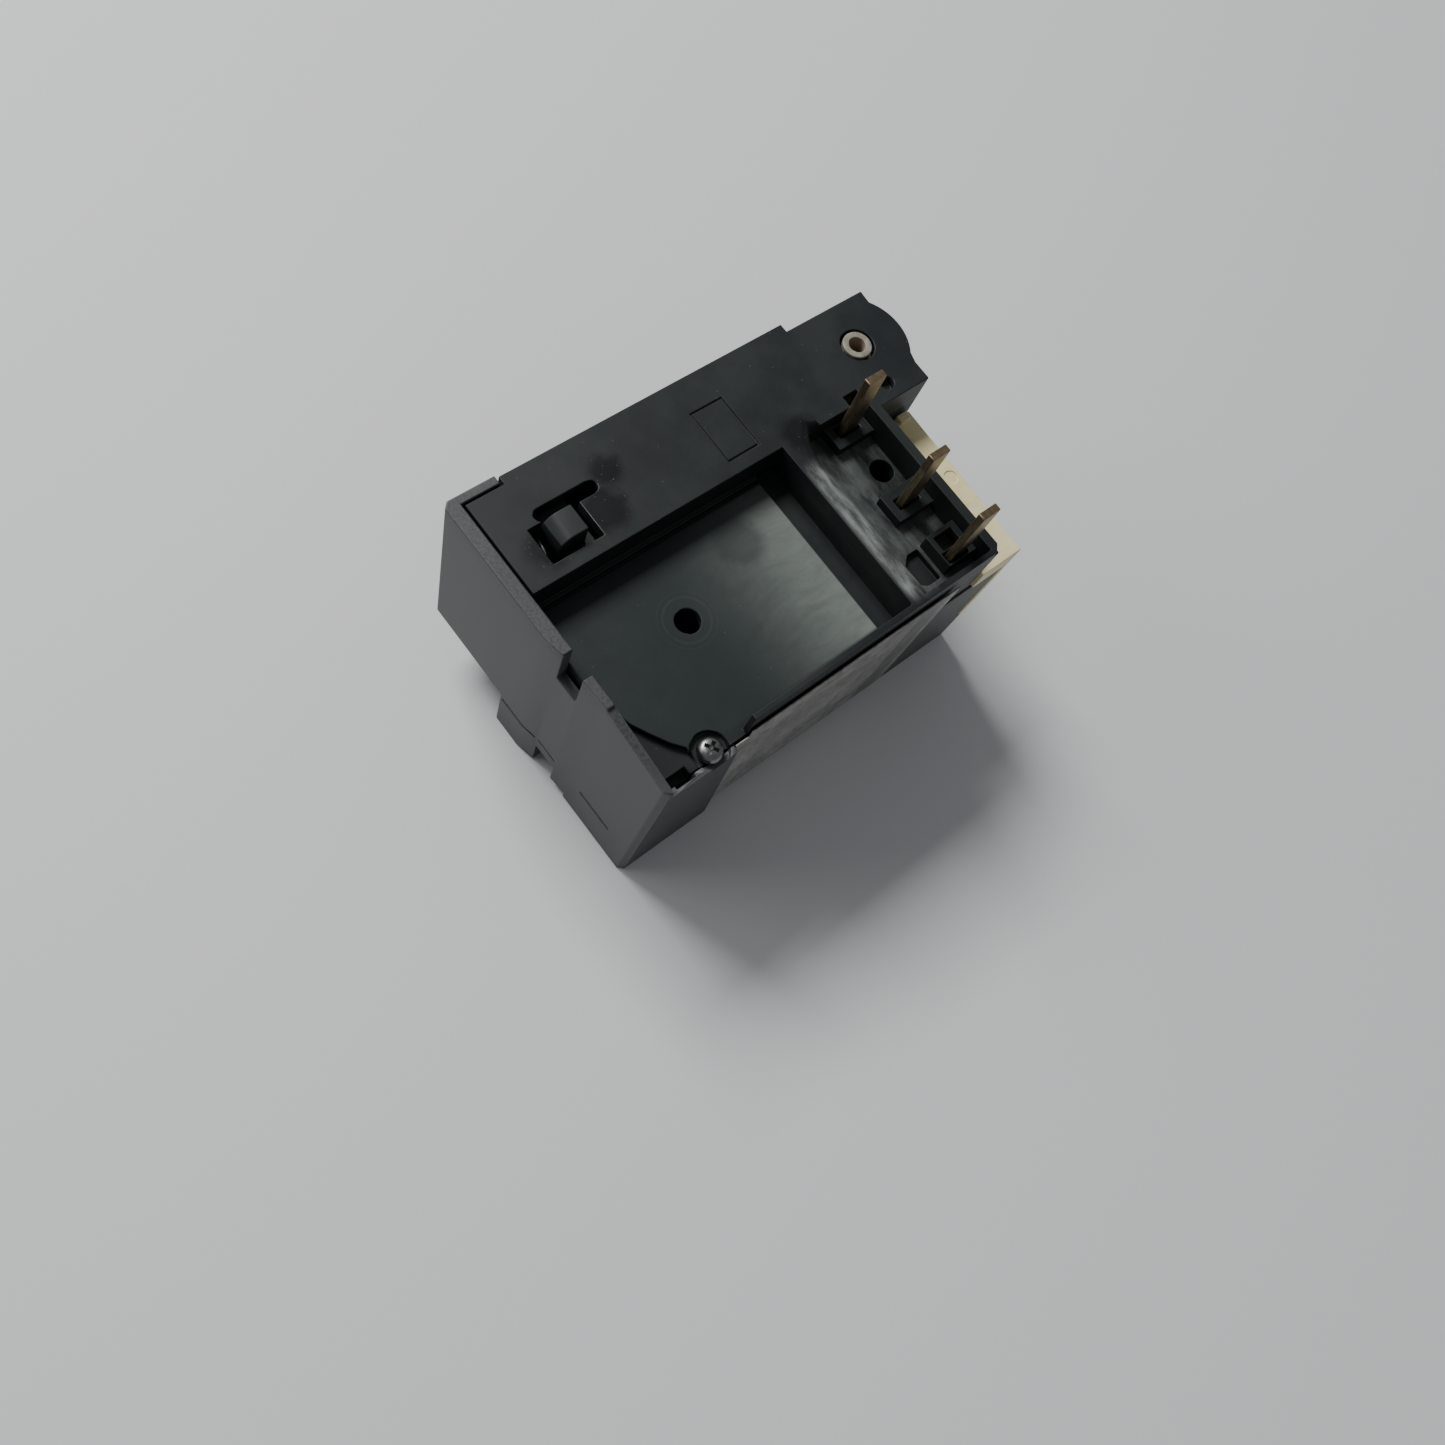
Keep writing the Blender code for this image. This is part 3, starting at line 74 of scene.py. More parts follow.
def moulded(node, piece_name, radius=EDGE_RADIUS, crease=0):
    """A merged copy of a CAD node whose sharp edges get a moulded radius.

    The radius is less where there is no room. Shallow bends are shaded smooth, save those up to
    the crease angle, in degrees, which stay crisp.
    """
    work = bmesh.new()
    work.from_mesh(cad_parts[node].data)
    bmesh.ops.remove_doubles(work, verts=work.verts[:], dist=2e-6)
    weight = work.edges.layers.float.new("bevel_weight_edge")
    for edge in work.edges:
        bend = edge.calc_face_angle(0) if len(edge.link_faces) == 2 else 0
        if bend > ROUNDED_BEND:
            edge[weight] = min(1, room_beside(edge) * ROOM_SHARE / radius)
        edge.smooth = not FLAT_BEND < bend < math.radians(crease)
    for face in work.faces:
        face.smooth = True
    mesh = bpy.data.meshes.new(piece_name)
    work.to_mesh(mesh)
    work.free()
    rounded = bpy.data.objects.new(piece_name, mesh)
    bpy.context.scene.collection.objects.link(rounded)
    bevel = rounded.modifiers.new("edge radius", "BEVEL")
    bevel.limit_method = "WEIGHT"
    bevel.width = radius
    bevel.segments = 2
    bevel.use_clamp_overlap = False
    bevel.face_strength_mode = "FSTR_ALL"
    flats = rounded.modifiers.new("flat faces stay flat", "WEIGHTED_NORMAL")
    flats.keep_sharp = True
    flats.use_face_influence = True
    flats.weight = 80
    return as_plain_mesh(rounded)


def room_beside(edge):
    """The distance from an edge to the nearest other corner of the two faces that meet at it."""
    start = edge.verts[0].co
    along = edge.verts[1].co - start
    nearest = along.length
    for face in edge.link_faces:
        for corner in face.verts:
            if corner not in edge.verts:
                share = min(1, max(0, (corner.co - start).dot(along) / along.length_squared))
                away = (corner.co - start - along * share).length
                if away > 1e-6:
                    nearest = min(nearest, away)
    return nearest


def as_plain_mesh(made):
    """Turns an object and its modifiers into one plain mesh at the origin."""
    graph = bpy.context.evaluated_depsgraph_get()
    mesh = bpy.data.meshes.new_from_object(made.evaluated_get(graph))
    made.modifiers.clear()
    old = made.data
    made.data = mesh
    bpy.data.meshes.remove(old)
    mesh.name = made.name
    return made


class Flow:
    """A value on its way through a material: arithmetic on it adds Math nodes."""

    def __init__(self, tree, socket=None):
        self.tree = tree
        self.socket = socket

    def node(self, kind, settings=None, sockets=None, out=0):
        made = self.tree.nodes.new(kind)
        for name, value in (settings or {}).items():
            if name == "stops":
                while len(made.color_ramp.elements) < len(value):
                    made.color_ramp.elements.new(1.0)
                for stop, (place, colour) in zip(made.color_ramp.elements, value):
                    stop.position = place
                    stop.color = (*colour, 1)
            else:
                setattr(made, name, value)
        for name, value in (sockets or {}).items():
            if isinstance(value, Flow):
                self.tree.links.new(value.socket, made.inputs[name])
            else:
                made.inputs[name].default_value = value
        return Flow(self.tree, made.outputs[out])

    def math(self, operation, *values):
        terms = dict(enumerate((self, *values)))
        return self.node("ShaderNodeMath", {"operation": operation}, terms)

    def __add__(self, other):
        return self.math("ADD", other)

    def __sub__(self, other):
        return self.math("SUBTRACT", other)

    def __rsub__(self, other):
        return self.node("ShaderNodeMath", {"operation": "SUBTRACT"}, {0: other, 1: self})

    def __mul__(self, other):
        return self.math("MULTIPLY", other)

    def __truediv__(self, other):
        return self.math("DIVIDE", other)

    __radd__ = __add__
    __rmul__ = __mul__

    def rise(self, start, end):
        """0 before start, 1 after end, smooth between them."""
        return self.node("ShaderNodeMapRange", {"interpolation_type": "SMOOTHSTEP"},
                         {"Value": self, "From Min": start, "From Max": end})

    def within(self, low, high, soft):
        return self.rise(low - soft, low + soft) * (1 - self.rise(high - soft, high + soft))

    def noise(self, size, detail, rough, stretch=None, out="Fac"):
        """Cloudy variation with features about one size across, in metres."""
        where = self
        if stretch:
            where = self.node("ShaderNodeMapping", {}, {"Vector": self, "Scale": stretch})
        return self.node("ShaderNodeTexNoise", {}, {
            "Vector": where, "Scale": 1 / size, "Detail": detail, "Roughness": rough}, out=out)

    def blend(self, first, second):
        """Two colours mixed by this value."""
        ends = {0: self, 6: colour(first), 7: colour(second)}
        return self.node("ShaderNodeMix", {"data_type": "RGBA"}, ends, out=2)


def colour(value):
    return value if isinstance(value, Flow) else (*value, 1)


class Finish:
    """A Principled material in the making, with the places that its patterns are laid out on."""

    def __init__(self, name, roughness=0.5, metallic=0.0, **settings):
        self.material = bpy.data.materials.new(name)
        self.material.use_nodes = True
        tree = self.material.node_tree
        self.shader = tree.nodes["Principled BSDF"]
        self.start = Flow(tree)
        self.place = self.start.node("ShaderNodeTexCoord", out="Object")
        self.shader.inputs["Roughness"].default_value = roughness
        self.shader.inputs["Metallic"].default_value = metallic
        for socket, value in settings.items():
            self.shader.inputs[socket.replace("_", " ")].default_value = value

    def axis(self, letter):
        return self.start.node("ShaderNodeSeparateXYZ", {}, {0: self.place}, out=letter)

    def worn_edge(self, radius):
        """1 on the outer and inner edges of the shape, 0 on its flats."""
        soft = self.start.node("ShaderNodeBevel", {"samples": 6}, {"Radius": radius})
        sharp = self.start.node("ShaderNodeNewGeometry", out="True Normal")
        match = self.start.node(
            "ShaderNodeVectorMath", {"operation": "DOT_PRODUCT"}, {0: soft, 1: sharp}, out="Value")
        return 1 - match.rise(0.8, 0.995)

    def set(self, socket, value):
        self.start.tree.links.new(value.socket, self.shader.inputs[socket])

    def bump(self, height, distance, strength):
        self.set("Normal", self.start.node("ShaderNodeBump", {}, {
            "Height": height, "Distance": distance, "Strength": strength}))


def specks(finish, size, share):
    """Small scattered dots: 1 inside a dot, 0 outside."""
    cell = {"Vector": finish.place, "Scale": 1 / size, "Randomness": 1.0}
    near = finish.start.node("ShaderNodeTexVoronoi", {}, cell, out="Distance")
    chance = finish.start.node("ShaderNodeTexVoronoi", {}, cell, out="Color")
    pick = finish.start.node("ShaderNodeSeparateColor", {}, {0: chance}, out=0)
    return (1 - near.rise(0.06, 0.13)) * (1 - pick.rise(share, share + 0.02))


def round_patch(finish, x, y, inner, outer):
    """1 within the inner radius of an upright line, 0 past the outer one, with a ragged edge."""
    ragged = (finish.place.noise(2.2 * MM, 4, 0.6) - 0.5) * (2.4 * MM)
    away = [(finish.axis("X") - x) + ragged, (finish.axis("Y") - y) - ragged]
    return 1 - (away[0] * away[0] + away[1] * away[1]).math("SQRT").rise(inner, outer)


def black_thermoset(name, whole_housing=False):
    black = Finish(name, roughness=0.4, Specular_IOR_Level=0.3)
    cloud = black.place.noise(9 * MM, 4, 0.6)
    fine = black.place.noise(0.5 * MM, 3, 0.6)
    grain = black.place.noise(0.12 * MM, 2, 0.5)
    edge = black.worn_edge(0.22 * MM)
    dust = specks(black, 0.9 * MM, 0.12)
    base = cloud.rise(0.3, 0.7).blend((0.0082, 0.0104, 0.0118), (0.0160, 0.0195, 0.0185))
    rough = 0.40 + cloud * 0.12 + grain * 0.08
    if whole_housing:
        base, rough = oily_patches(black, base, rough)
        base, rough = recess_sheen_and_dust(black, base, rough)
        base, rough = trough_highlight_and_floor(black, base, rough)
    base = (edge * fine.rise(0.35, 0.7) * 0.6).blend(base, (0.036, 0.038, 0.040))
    base = (dust * 0.4).blend(base, (0.13, 0.13, 0.12))
    black.set("Base Color", base)
    black.set("Roughness", rough + dust * 0.3)
    black.bump(grain * 0.5 + fine * 0.5, 0.012 * MM, 0.6)
    return black.material


def oily_patches(black, base, rough):
    """Dark glossy stains round the hook, its slot and the trough's corner, with pale crumbs."""
    hook_x, hook_y = (sum(pair) / 2 for pair in list(zip(*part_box("mounting_latch")))[:2])
    stain = round_patch(black, hook_x - 2.0 * MM, hook_y + 4.0 * MM, 1.5 * MM, 4.2 * MM)
    for right, rear, inner, outer in ((-1.4, -5.5, 2.0, 4.2), (3.2, -8.8, 1.2, 3.2),
                                      (-5.6, -35.0, 1.5, 4.0)):
        stain = stain.math("MAXIMUM", round_patch(
            black, hook_x + right * MM, hook_y + rear * MM, inner * MM, outer * MM))
    top = black.axis("Z").rise(housing_high.z - 0.4 * MM, housing_high.z - 0.2 * MM)
    stain = stain * top
    crumbs = specks(black, 0.45 * MM, 0.22) * stain
    base = (stain * 0.75).blend(base, (0.0035, 0.0035, 0.0045))
    base = (crumbs * 0.8).blend(base, (0.20, 0.20, 0.18))
    return base, rough - stain * 0.16 + crumbs * 0.3


def recess_sheen_and_dust(black, base, rough):
    """The recess floor, dull green-black at the rear and pale towards the trench: partly dust, partly
    a painted sheen.
    """
    x, y, z = (black.axis(letter) for letter in "XYZ")
    floor_z = housing_high.z - RECESS_DEPTH
    sheet = z.within(floor_z - 0.2 * MM, floor_z + 0.2 * MM, 0.05 * MM)
    sheet = sheet * x.within(housing_low.x + RIM_WIDTH, 5.5 * MM, 0.35 * MM)
    sheet = sheet * y.rise(-2.3 * MM, -1.7 * MM)
    wander = black.start.node("ShaderNodeVectorMath", {"operation": "SCALE"}, {
        0: black.place.noise(14 * MM, 2, 0.5, out="Color"), "Scale": 9 * MM})
    warped = black.start.node("ShaderNodeVectorMath", {"operation": "ADD"}, {
        0: black.place, 1: wander})
    streaks = warped.noise(1.3 * MM, 4, 0.65, stretch=(1, 0.22, 1))
    haze = warped.noise(5 * MM, 5, 0.65)
    # Painted sheen and dust: the floor turns pale towards the trench. Part of it is dust, part a
    # painted sheen that stands in for the light's reflection.
    fade = 1 - (y + (haze - 0.5) * (9 * MM)).rise(-4 * MM, 25 * MM)
    # Painted shade: the pale is dimmed towards the strip wall, where the wall's shadow falls.
    sheen_and_dust = fade * fade * (1 - x.rise(-1.5 * MM, 5.5 * MM) * 0.55)
    sheen_and_dust = sheen_and_dust * (0.25 + streaks * 0.6 + haze * 0.6)
    sheen_and_dust = sheen_and_dust * (1 - round_patch(black, 0.2 * MM, 6.3 * MM, 2.4 * MM, 4.6 * MM) * 0.5)
    across, along = x - RECESS_HOLE[0], y - RECESS_HOLE[1]
    from_hole = (across * across + along * along).math("SQRT")
    rings = from_hole.within(3.1 * MM, 3.35 * MM, 0.12 * MM)
    rings = rings + from_hole.within(3.9 * MM, 4.05 * MM, 0.1 * MM) * 0.6
    grit = specks(black, 0.35 * MM, 0.35) * fade * fade
    dull = (haze * 1.4 - 0.2).blend((0.007, 0.011, 0.012), (0.017, 0.023, 0.023))
    base = (sheet * (1 - sheen_and_dust * 0.3)).blend(base, dull)
    base = (sheet * sheen_and_dust).blend(base, (0.165, 0.185, 0.168))
    base = (sheet * (grit * 0.35 + rings * 0.06 * streaks)).blend(base, (0.30, 0.31, 0.28))
    return base, rough + sheet * (0.10 - haze * 0.16)


def trough_highlight_and_floor(black, base, rough):
    """The rolled slope behind the blades, painted bright as a highlight with a little dust, and the
    mottled floor of the trough.
    """
    x, y, z = (black.axis(letter) for letter in "XYZ")
    ridge = TROUGH_RIDGE_Y
    smear_and_sheen = black.place.noise(2.0 * MM, 5, 0.65, stretch=(0.35, 1, 1))
    rolled = y.within(ridge - 3.6 * MM, ridge + 0.9 * MM, 0.5 * MM)
    rolled = rolled * x.within(housing_low.x + RIM_WIDTH, 2.2 * MM, 1.6 * MM)
    rolled = rolled * z.rise(housing_high.z - 4.3 * MM, housing_high.z - 2.6 * MM)
    floor_z = housing_high.z - TROUGH_DEPTH
    sunk = z.within(floor_z - 0.15 * MM, floor_z + 0.15 * MM, 0.05 * MM)
    sunk = sunk * (1 - y.rise(ridge - 3.4 * MM, ridge - 3.0 * MM))
    # Painted highlight: the rolled slope is painted pale to stand for its shine, with some dust in
    # it.
    base = (rolled * (0.15 + smear_and_sheen.rise(0.3, 0.7) * 0.85)).blend(base, (0.24, 0.26, 0.245))
    base = (sunk * smear_and_sheen.rise(0.3, 0.65)).blend(base, (0.075, 0.085, 0.080))
    return base, rough - rolled * 0.10


def fit(piece, material, body, *nodes, slot=None):
    """Gives a finished piece its material, the body it moves with and the CAD nodes it stands for."""
    piece.data.materials.clear()
    piece.data.materials.append(material)
    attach(piece, body)
    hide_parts(*nodes)
    return piece


housing_finish = black_thermoset("black_thermoset_housing", whole_housing=True)
fit(moulded("top_housing", "housing_shell"), housing_finish, "case", "top_housing",
    slot="black_thermoset")


# ---- Black side cover and mounting hook ----------------------------------------------------------
# The plate that closes the mechanism room snaps into the housing's side. The hook slides in its slot
# on the strip and is moulded of the same black plastic.

plain_black = black_thermoset("black_thermoset_small_parts")
fit(moulded("side_cover", "side_plate"), plain_black, "case", "side_cover",
    slot="black_thermoset")
fit(moulded("mounting_latch", "mounting_hook", 0.2 * MM), plain_black, "mounting_latch",
    "mounting_latch", slot="black_thermoset")


# ---- Grey rear cover and base --------------------------------------------------------------------
# Two mouldings of dark grey thermoplastic with a fine spark-eroded texture. The rear cover clips
# over the mounting side; its rim is scuffed and speckled where it has been handled.

def grey_thermoplastic(name):
    grey = Finish(name, roughness=0.5)
    cloud = grey.place.noise(8 * MM, 4, 0.6)
    fine = grey.place.noise(0.35 * MM, 3, 0.6)
    spark = grey.place.noise(0.09 * MM, 2, 0.6)
    edge = grey.worn_edge(0.3 * MM)
    z = grey.axis("Z")
    rim = z.rise(35.2 * MM, 36.2 * MM) * fine.rise(0.45, 0.6)
    base = cloud.rise(0.3, 0.7).blend((0.040, 0.042, 0.043), (0.052, 0.054, 0.055))
    base = (rim * 0.6).blend(base, (0.017, 0.018, 0.019))
    base = (edge * 0.45).blend(base, (0.10, 0.102, 0.105))
    base = (specks(grey, 1.1 * MM, 0.10) * 0.5).blend(base, (0.17, 0.17, 0.16))
    grey.set("Base Color", base)
    grey.set("Roughness", 0.42 + cloud * 0.12 + spark * 0.08)
    grey.bump(spark, 0.012 * MM, 0.7)
    return grey.material


grey_finish = grey_thermoplastic("dark_grey_moulding")
fit(moulded("rear_cover", "rear_cover_shell", 0.2 * MM, crease=14), grey_finish, "case",
    "rear_cover", slot="grey_thermoplastic")
fit(moulded("base", "base_shell"), grey_finish, "case", "base", slot="grey_thermoplastic")


# ---- Cream front cover ---------------------------------------------------------------------------
# The touch-guard over the terminals, moulded in cream thermoplastic that has yellowed unevenly.

def cream_thermoplastic():
    cream = Finish("yellowed_cream_moulding", roughness=0.42, Subsurface_Weight=0.08,
                   Subsurface_Scale=0.6 * MM)
    cloud = cream.place.noise(7 * MM, 4, 0.6)
    fine = cream.place.noise(0.4 * MM, 3, 0.6)
    grime = cream.place.noise(2.2 * MM, 5, 0.7).rise(0.56, 0.74)
    base = cloud.rise(0.3, 0.7).blend((0.72, 0.63, 0.33), (0.80, 0.73, 0.45))
    base = (grime * 0.4).blend(base, (0.38, 0.31, 0.15))
    base = (cream.worn_edge(0.25 * MM) * 0.3).blend(base, (0.84, 0.79, 0.56))
    cream.set("Base Color", base)
    cream.set("Roughness", 0.38 + cloud * 0.12 + grime * 0.15)
    cream.bump(fine, 0.012 * MM, 0.5)
    return cream.material


fit(moulded("front_cover", "terminal_guard", 0.2 * MM), cream_thermoplastic(), "case",
    "front_cover", slot="cream_thermoplastic")


# ---- Rating label --------------------------------------------------------------------------------
# A silvery foil label glued in the sunken panel of the label-side wall. Its print is left out; the
# foil is scratched and grey with wear.

def label_foil():
    foil = Finish("worn_label_foil", roughness=0.5, metallic=0.35)
    y = foil.axis("Y")
    worn = foil.place.noise(1.2 * MM, 5, 0.7)
    blot = foil.place.noise(6 * MM, 3, 0.6)
    scratch = foil.place.noise(0.5 * MM, 2, 0.5, stretch=(1, 1, 0.08)).rise(0.62, 0.72)
    base = (worn * 0.6 + blot * 0.4).rise(0.35, 0.65).blend((0.18, 0.18, 0.165), (0.40, 0.40, 0.37))
    base = scratch.blend(base, (0.12, 0.12, 0.115))
    base = (y.within(-13.5 * MM, -8.5 * MM, 0.2 * MM) * 0.5).blend(base, (0.08, 0.08, 0.085))
    foil.set("Base Color", base)
    foil.set("Roughness", 0.36 + worn * 0.3)
    foil.bump(worn, 0.01 * MM, 0.4)
    return foil.material


fit(moulded("label_plate", "rating_label", 0.05 * MM), label_foil(), "case", "label_plate",
    slot="label_foil")


# ---- Screws --------------------------------------------------------------------------------------
# Eight zinc-plated pan-head screws with a cross recess, cold-headed and rolled: one holds the
# housing to the base, three clamp the load wires and four the auxiliary wires.

def node_tree_of(name, inputs):
    """An empty geometry tree with named size inputs and one geometry output."""
    tree = bpy.data.node_groups.new(name, "GeometryNodeTree")
    tree.interface.new_socket("Geometry", in_out="OUTPUT", socket_type="NodeSocketGeometry")
    for label, kind in inputs:
        tree.interface.new_socket(label, in_out="INPUT", socket_type="NodeSocket" + kind)
    tree.nodes.new("NodeGroupInput")
    tree.nodes.new("NodeGroupOutput")
    return tree


def grow(tree, piece_name, values):
    """Runs a geometry tree with the given sizes and returns its result as a plain mesh object."""
    holder = bpy.data.objects.new(piece_name, bpy.data.meshes.new(piece_name + "_seed"))
    bpy.context.scene.collection.objects.link(holder)
    modifier = holder.modifiers.new(tree.name, "NODES")
    modifier.node_group = tree
    for item in tree.interface.items_tree:
        if item.in_out == "INPUT" and item.name in values:
            modifier[item.identifier] = values[item.name]
    return as_plain_mesh(holder)


def pan_head_screw_tree():
    """A lathe-turned profile closed on its axis, less a cross of two straight-sided slots."""
    tree = node_tree_of("pan_head_screw", (
        ("Head Radius", "Float"), ("Head Height", "Float"), ("Shank Radius", "Float"),
        ("Length", "Float"), ("Recess Reach", "Float"), ("Recess Width", "Float"),
        ("Recess Depth", "Float"), ("Place", "Vector"), ("Turn", "Rotation"),
        ("Finish", "Material")))
    given, result = tree.nodes["Group Input"], tree.nodes["Group Output"]
    flow = Flow(tree)
    size = {name.name: Flow(tree, name) for name in given.outputs if name.name}
    # Shares of the head radius and shank radius, then of the head height and length, from the
    # middle of the head out and down to the tip of the shank.
    profile = ((0, 0, 1, 0), (0.42, 0, 0.98, 0), (0.68, 0, 0.92, 0), (0.86, 0, 0.76, 0),
               (0.96, 0, 0.52, 0), (1, 0, 0.3, 0), (1, 0, 0.08, 0), (0.96, 0, 0, 0),
               (0, 1, 0, 0), (0, 1, 0, 0.3), (0, 1, 0, 0.93), (0, 0.6, 0, 1), (0, 0, 0, 1))
    steps, rounds = len(profile), 40
    grid = flow.node("GeometryNodeMeshGrid", {}, {
        "Size X": 1.0, "Size Y": 1.0, "Vertices X": rounds + 1, "Vertices Y": steps}, out="Mesh")
    index = flow.node("GeometryNodeInputIndex")
    row = index.math("MODULO", float(steps))
    angle = (index / float(steps)).math("FLOOR") * (2 * math.pi / rounds)
    reach, height = 0.0, 0.0
    for step, (head, shank, up, down) in enumerate(profile):
        here = row.math("COMPARE", float(step), 0.1)
        reach = here * (size["Head Radius"] * head + size["Shank Radius"] * shank) + reach
        height = here * (size["Head Height"] * up - size["Length"] * down) + height
    point = flow.node("ShaderNodeCombineXYZ", {}, {
        "X": reach * angle.math("COSINE"), "Y": reach * angle.math("SINE"), "Z": height})
    turned = flow.node("GeometryNodeSetPosition", {}, {"Geometry": grid, "Position": point})
    outward = flow.node("GeometryNodeFlipFaces", {}, {"Mesh": turned})
    body = flow.node("GeometryNodeMergeByDistance", {}, {"Geometry": outward, "Distance": 1e-6})
    arms = flow.node("GeometryNodeJoinGeometry")
    middle = size["Head Height"] - size["Recess Depth"] * 0.5 + 0.1 * MM
    for across in (0, 1):
        sizes = [size["Recess Width"], size["Recess Width"]]
        sizes[across] = size["Recess Reach"] * 2.0
        extent = flow.node("ShaderNodeCombineXYZ", {}, {
            "X": sizes[0], "Y": sizes[1], "Z": size["Recess Depth"] + 0.2 * MM})
        arm = flow.node("GeometryNodeMeshCube", {}, {"Size": extent}, out="Mesh")
        lift = flow.node("ShaderNodeCombineXYZ", {}, {"Z": middle})
        raised = flow.node("GeometryNodeTransform", {}, {"Geometry": arm, "Translation": lift})
        tree.links.new(raised.socket, arms.socket.node.inputs["Geometry"])
    cut = flow.node("GeometryNodeMeshBoolean", {"operation": "DIFFERENCE", "solver": "EXACT"},
                    {"Mesh 1": body, "Mesh 2": arms, "Self Intersection": True}, out="Mesh")
    placed = flow.node("GeometryNodeTransform", {}, {
        "Geometry": cut, "Translation": size["Place"], "Rotation": size["Turn"]})
    real = flow.node("GeometryNodeRealizeInstances", {}, {"Geometry": placed})
    dressed = flow.node("GeometryNodeSetMaterial", {}, {
        "Geometry": real, "Material": size["Finish"]})
    tree.links.new(dressed.socket, result.inputs["Geometry"])
    return tree


def zinc_steel(name, shade=0.5):
    steel = Finish(name, roughness=0.3, metallic=1.0)
    worn = steel.place.noise(0.8 * MM, 4, 0.6)
    stain = steel.place.noise(0.35 * MM, 4, 0.7).rise(0.55, 0.75)
    base = worn.rise(0.3, 0.7).blend(
        (shade, shade, shade * 1.02), (shade * 1.3, shade * 1.3, shade * 1.28))
    base = (stain * 0.5).blend(base, (0.12, 0.11, 0.10))
    steel.set("Base Color", base)
    steel.set("Roughness", 0.24 + worn * 0.22 + stain * 0.2)
    steel.bump(worn, 0.02 * MM, 0.4)
    return steel.material


steel_finish = zinc_steel("zinc_plated_steel")
screw_tree = pan_head_screw_tree()
facing_front = Matrix.Rotation(math.radians(90), 3, "X")


def screw(node, piece_name, body, head_radius, head_height, shank_radius, upward, degrees,
          plating=steel_finish):
    """A screw with its head up or to the front, and its cross turned by so many degrees."""
    turn = Matrix.Rotation(math.radians(degrees), 3, "Z")
    low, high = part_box(node)
    middle = (low + high) / 2
    if upward:
        seat = Vector((middle.x, middle.y, high.z - head_height))
        length = seat.z - low.z
    else:
        seat = Vector((middle.x, low.y + head_height, middle.z))
        length = high.y - seat.y
        turn = facing_front @ turn
    made = grow(screw_tree, piece_name, {
        "Head Radius": head_radius, "Head Height": head_height, "Shank Radius": shank_radius,
        "Length": length, "Recess Reach": head_radius * 0.56, "Recess Width": head_radius * 0.30,
        "Recess Depth": head_height * 0.6, "Place": seat, "Turn": turn.to_euler(),
        "Finish": plating})
    smooth_by_angle(made, 38)
    return fit(made, plating, body, node, slot="zinc_steel")


def smooth_by_angle(made, degrees):
    made.data.shade_smooth()
    made.data.set_sharp_from_angle(angle=math.radians(degrees))


screw("cover_screw", "housing_screw", "case", 1.74 * MM, 1.5 * MM, 0.68 * MM, True, 32,
      zinc_steel("dulled_zinc_steel", 0.2))
for number, degrees in ((1, 20), (2, -35), (3, 12)):
    screw(f"load_screw_{number}", f"load_clamp_screw_{number}", f"load_clamp_{number}",
          3.0 * MM, 2.2 * MM, 1.6 * MM, False, degrees)
for number, degrees in ((1, 5), (2, 40), (3, -15), (4, 28)):
    screw(f"aux_screw_{number}", f"aux_clamp_screw_{number}", f"aux_clamp_{number}",
          2.3 * MM, 1.7 * MM, 1.0 * MM, False, degrees)


# ---- Clamp plates --------------------------------------------------------------------------------
# Square zinc-plated steel plates, stamped, that ride on the load screws and press the wire flat.

for number in (1, 2, 3):
    plate = moulded(f"clamp_washer_{number}", f"clamp_plate_{number}", 0.12 * MM)
    fit(plate, steel_finish, f"load_clamp_{number}", f"clamp_washer_{number}",
        slot="zinc_steel")


# ---- Line blades ---------------------------------------------------------------------------------
# Three flat blades stamped from tinned bronze strip, 1.1 mm thick, that plug into the contactor.
# Use has rubbed the tin away, and the bare bronze has browned towards the tips.

def browned_bronze():
    bronze = Finish("browned_bronze", roughness=0.35, metallic=1.0)
    z = bronze.axis("Z")
    streak = bronze.place.noise(0.5 * MM, 4, 0.6, stretch=(1, 1, 0.15))
    blotch = bronze.place.noise(1.6 * MM, 4, 0.65)
    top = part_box("line_blade_1")[1].z
    tip = (z + (blotch - 0.5) * (3 * MM)).rise(top - 5 * MM, top - 1.0 * MM)
    base = streak.rise(0.3, 0.7).blend((0.27, 0.215, 0.135), (0.42, 0.35, 0.235))
    base = (tip * 0.7).blend(base, (0.17, 0.115, 0.065))
    base = (blotch.rise(0.55, 0.7) * 0.5).blend(base, (0.10, 0.08, 0.055))
    bronze.set("Base Color", base)
    bronze.set("Roughness", 0.28 + streak * 0.2 + blotch * 0.12)
    bronze.bump(streak, 0.015 * MM, 0.5)
    return bronze.material


blade_finish = browned_bronze()
for number in (1, 2, 3):
    blade = moulded(f"line_blade_{number}", f"contact_blade_{number}", 0.15 * MM)
    fit(blade, blade_finish, "case", f"line_blade_{number}", slot="tinned_bronze")


# ---- Terminals and contact leaves ----------------------------------------------------------------
# Stamped and bent from plain brass strip: the load terminals, the auxiliary plates and the two
# leaves whose rivets the rocker's contact meets.

def plain_brass():
    brass = Finish("plain_brass", roughness=0.3, metallic=1.0)
    cloud = brass.place.noise(3 * MM, 4, 0.6)
    rolled = brass.place.noise(0.3 * MM, 3, 0.5, stretch=(1, 0.1, 1))
    base = cloud.rise(0.3, 0.7).blend((0.50, 0.36, 0.14), (0.66, 0.50, 0.23))
    base = (cloud.rise(0.55, 0.75) * 0.4).blend(base, (0.25, 0.16, 0.07))
    brass.set("Base Color", base)
    brass.set("Roughness", 0.24 + rolled * 0.16 + cloud * 0.1)
    brass.bump(rolled, 0.01 * MM, 0.4)
    return brass.material


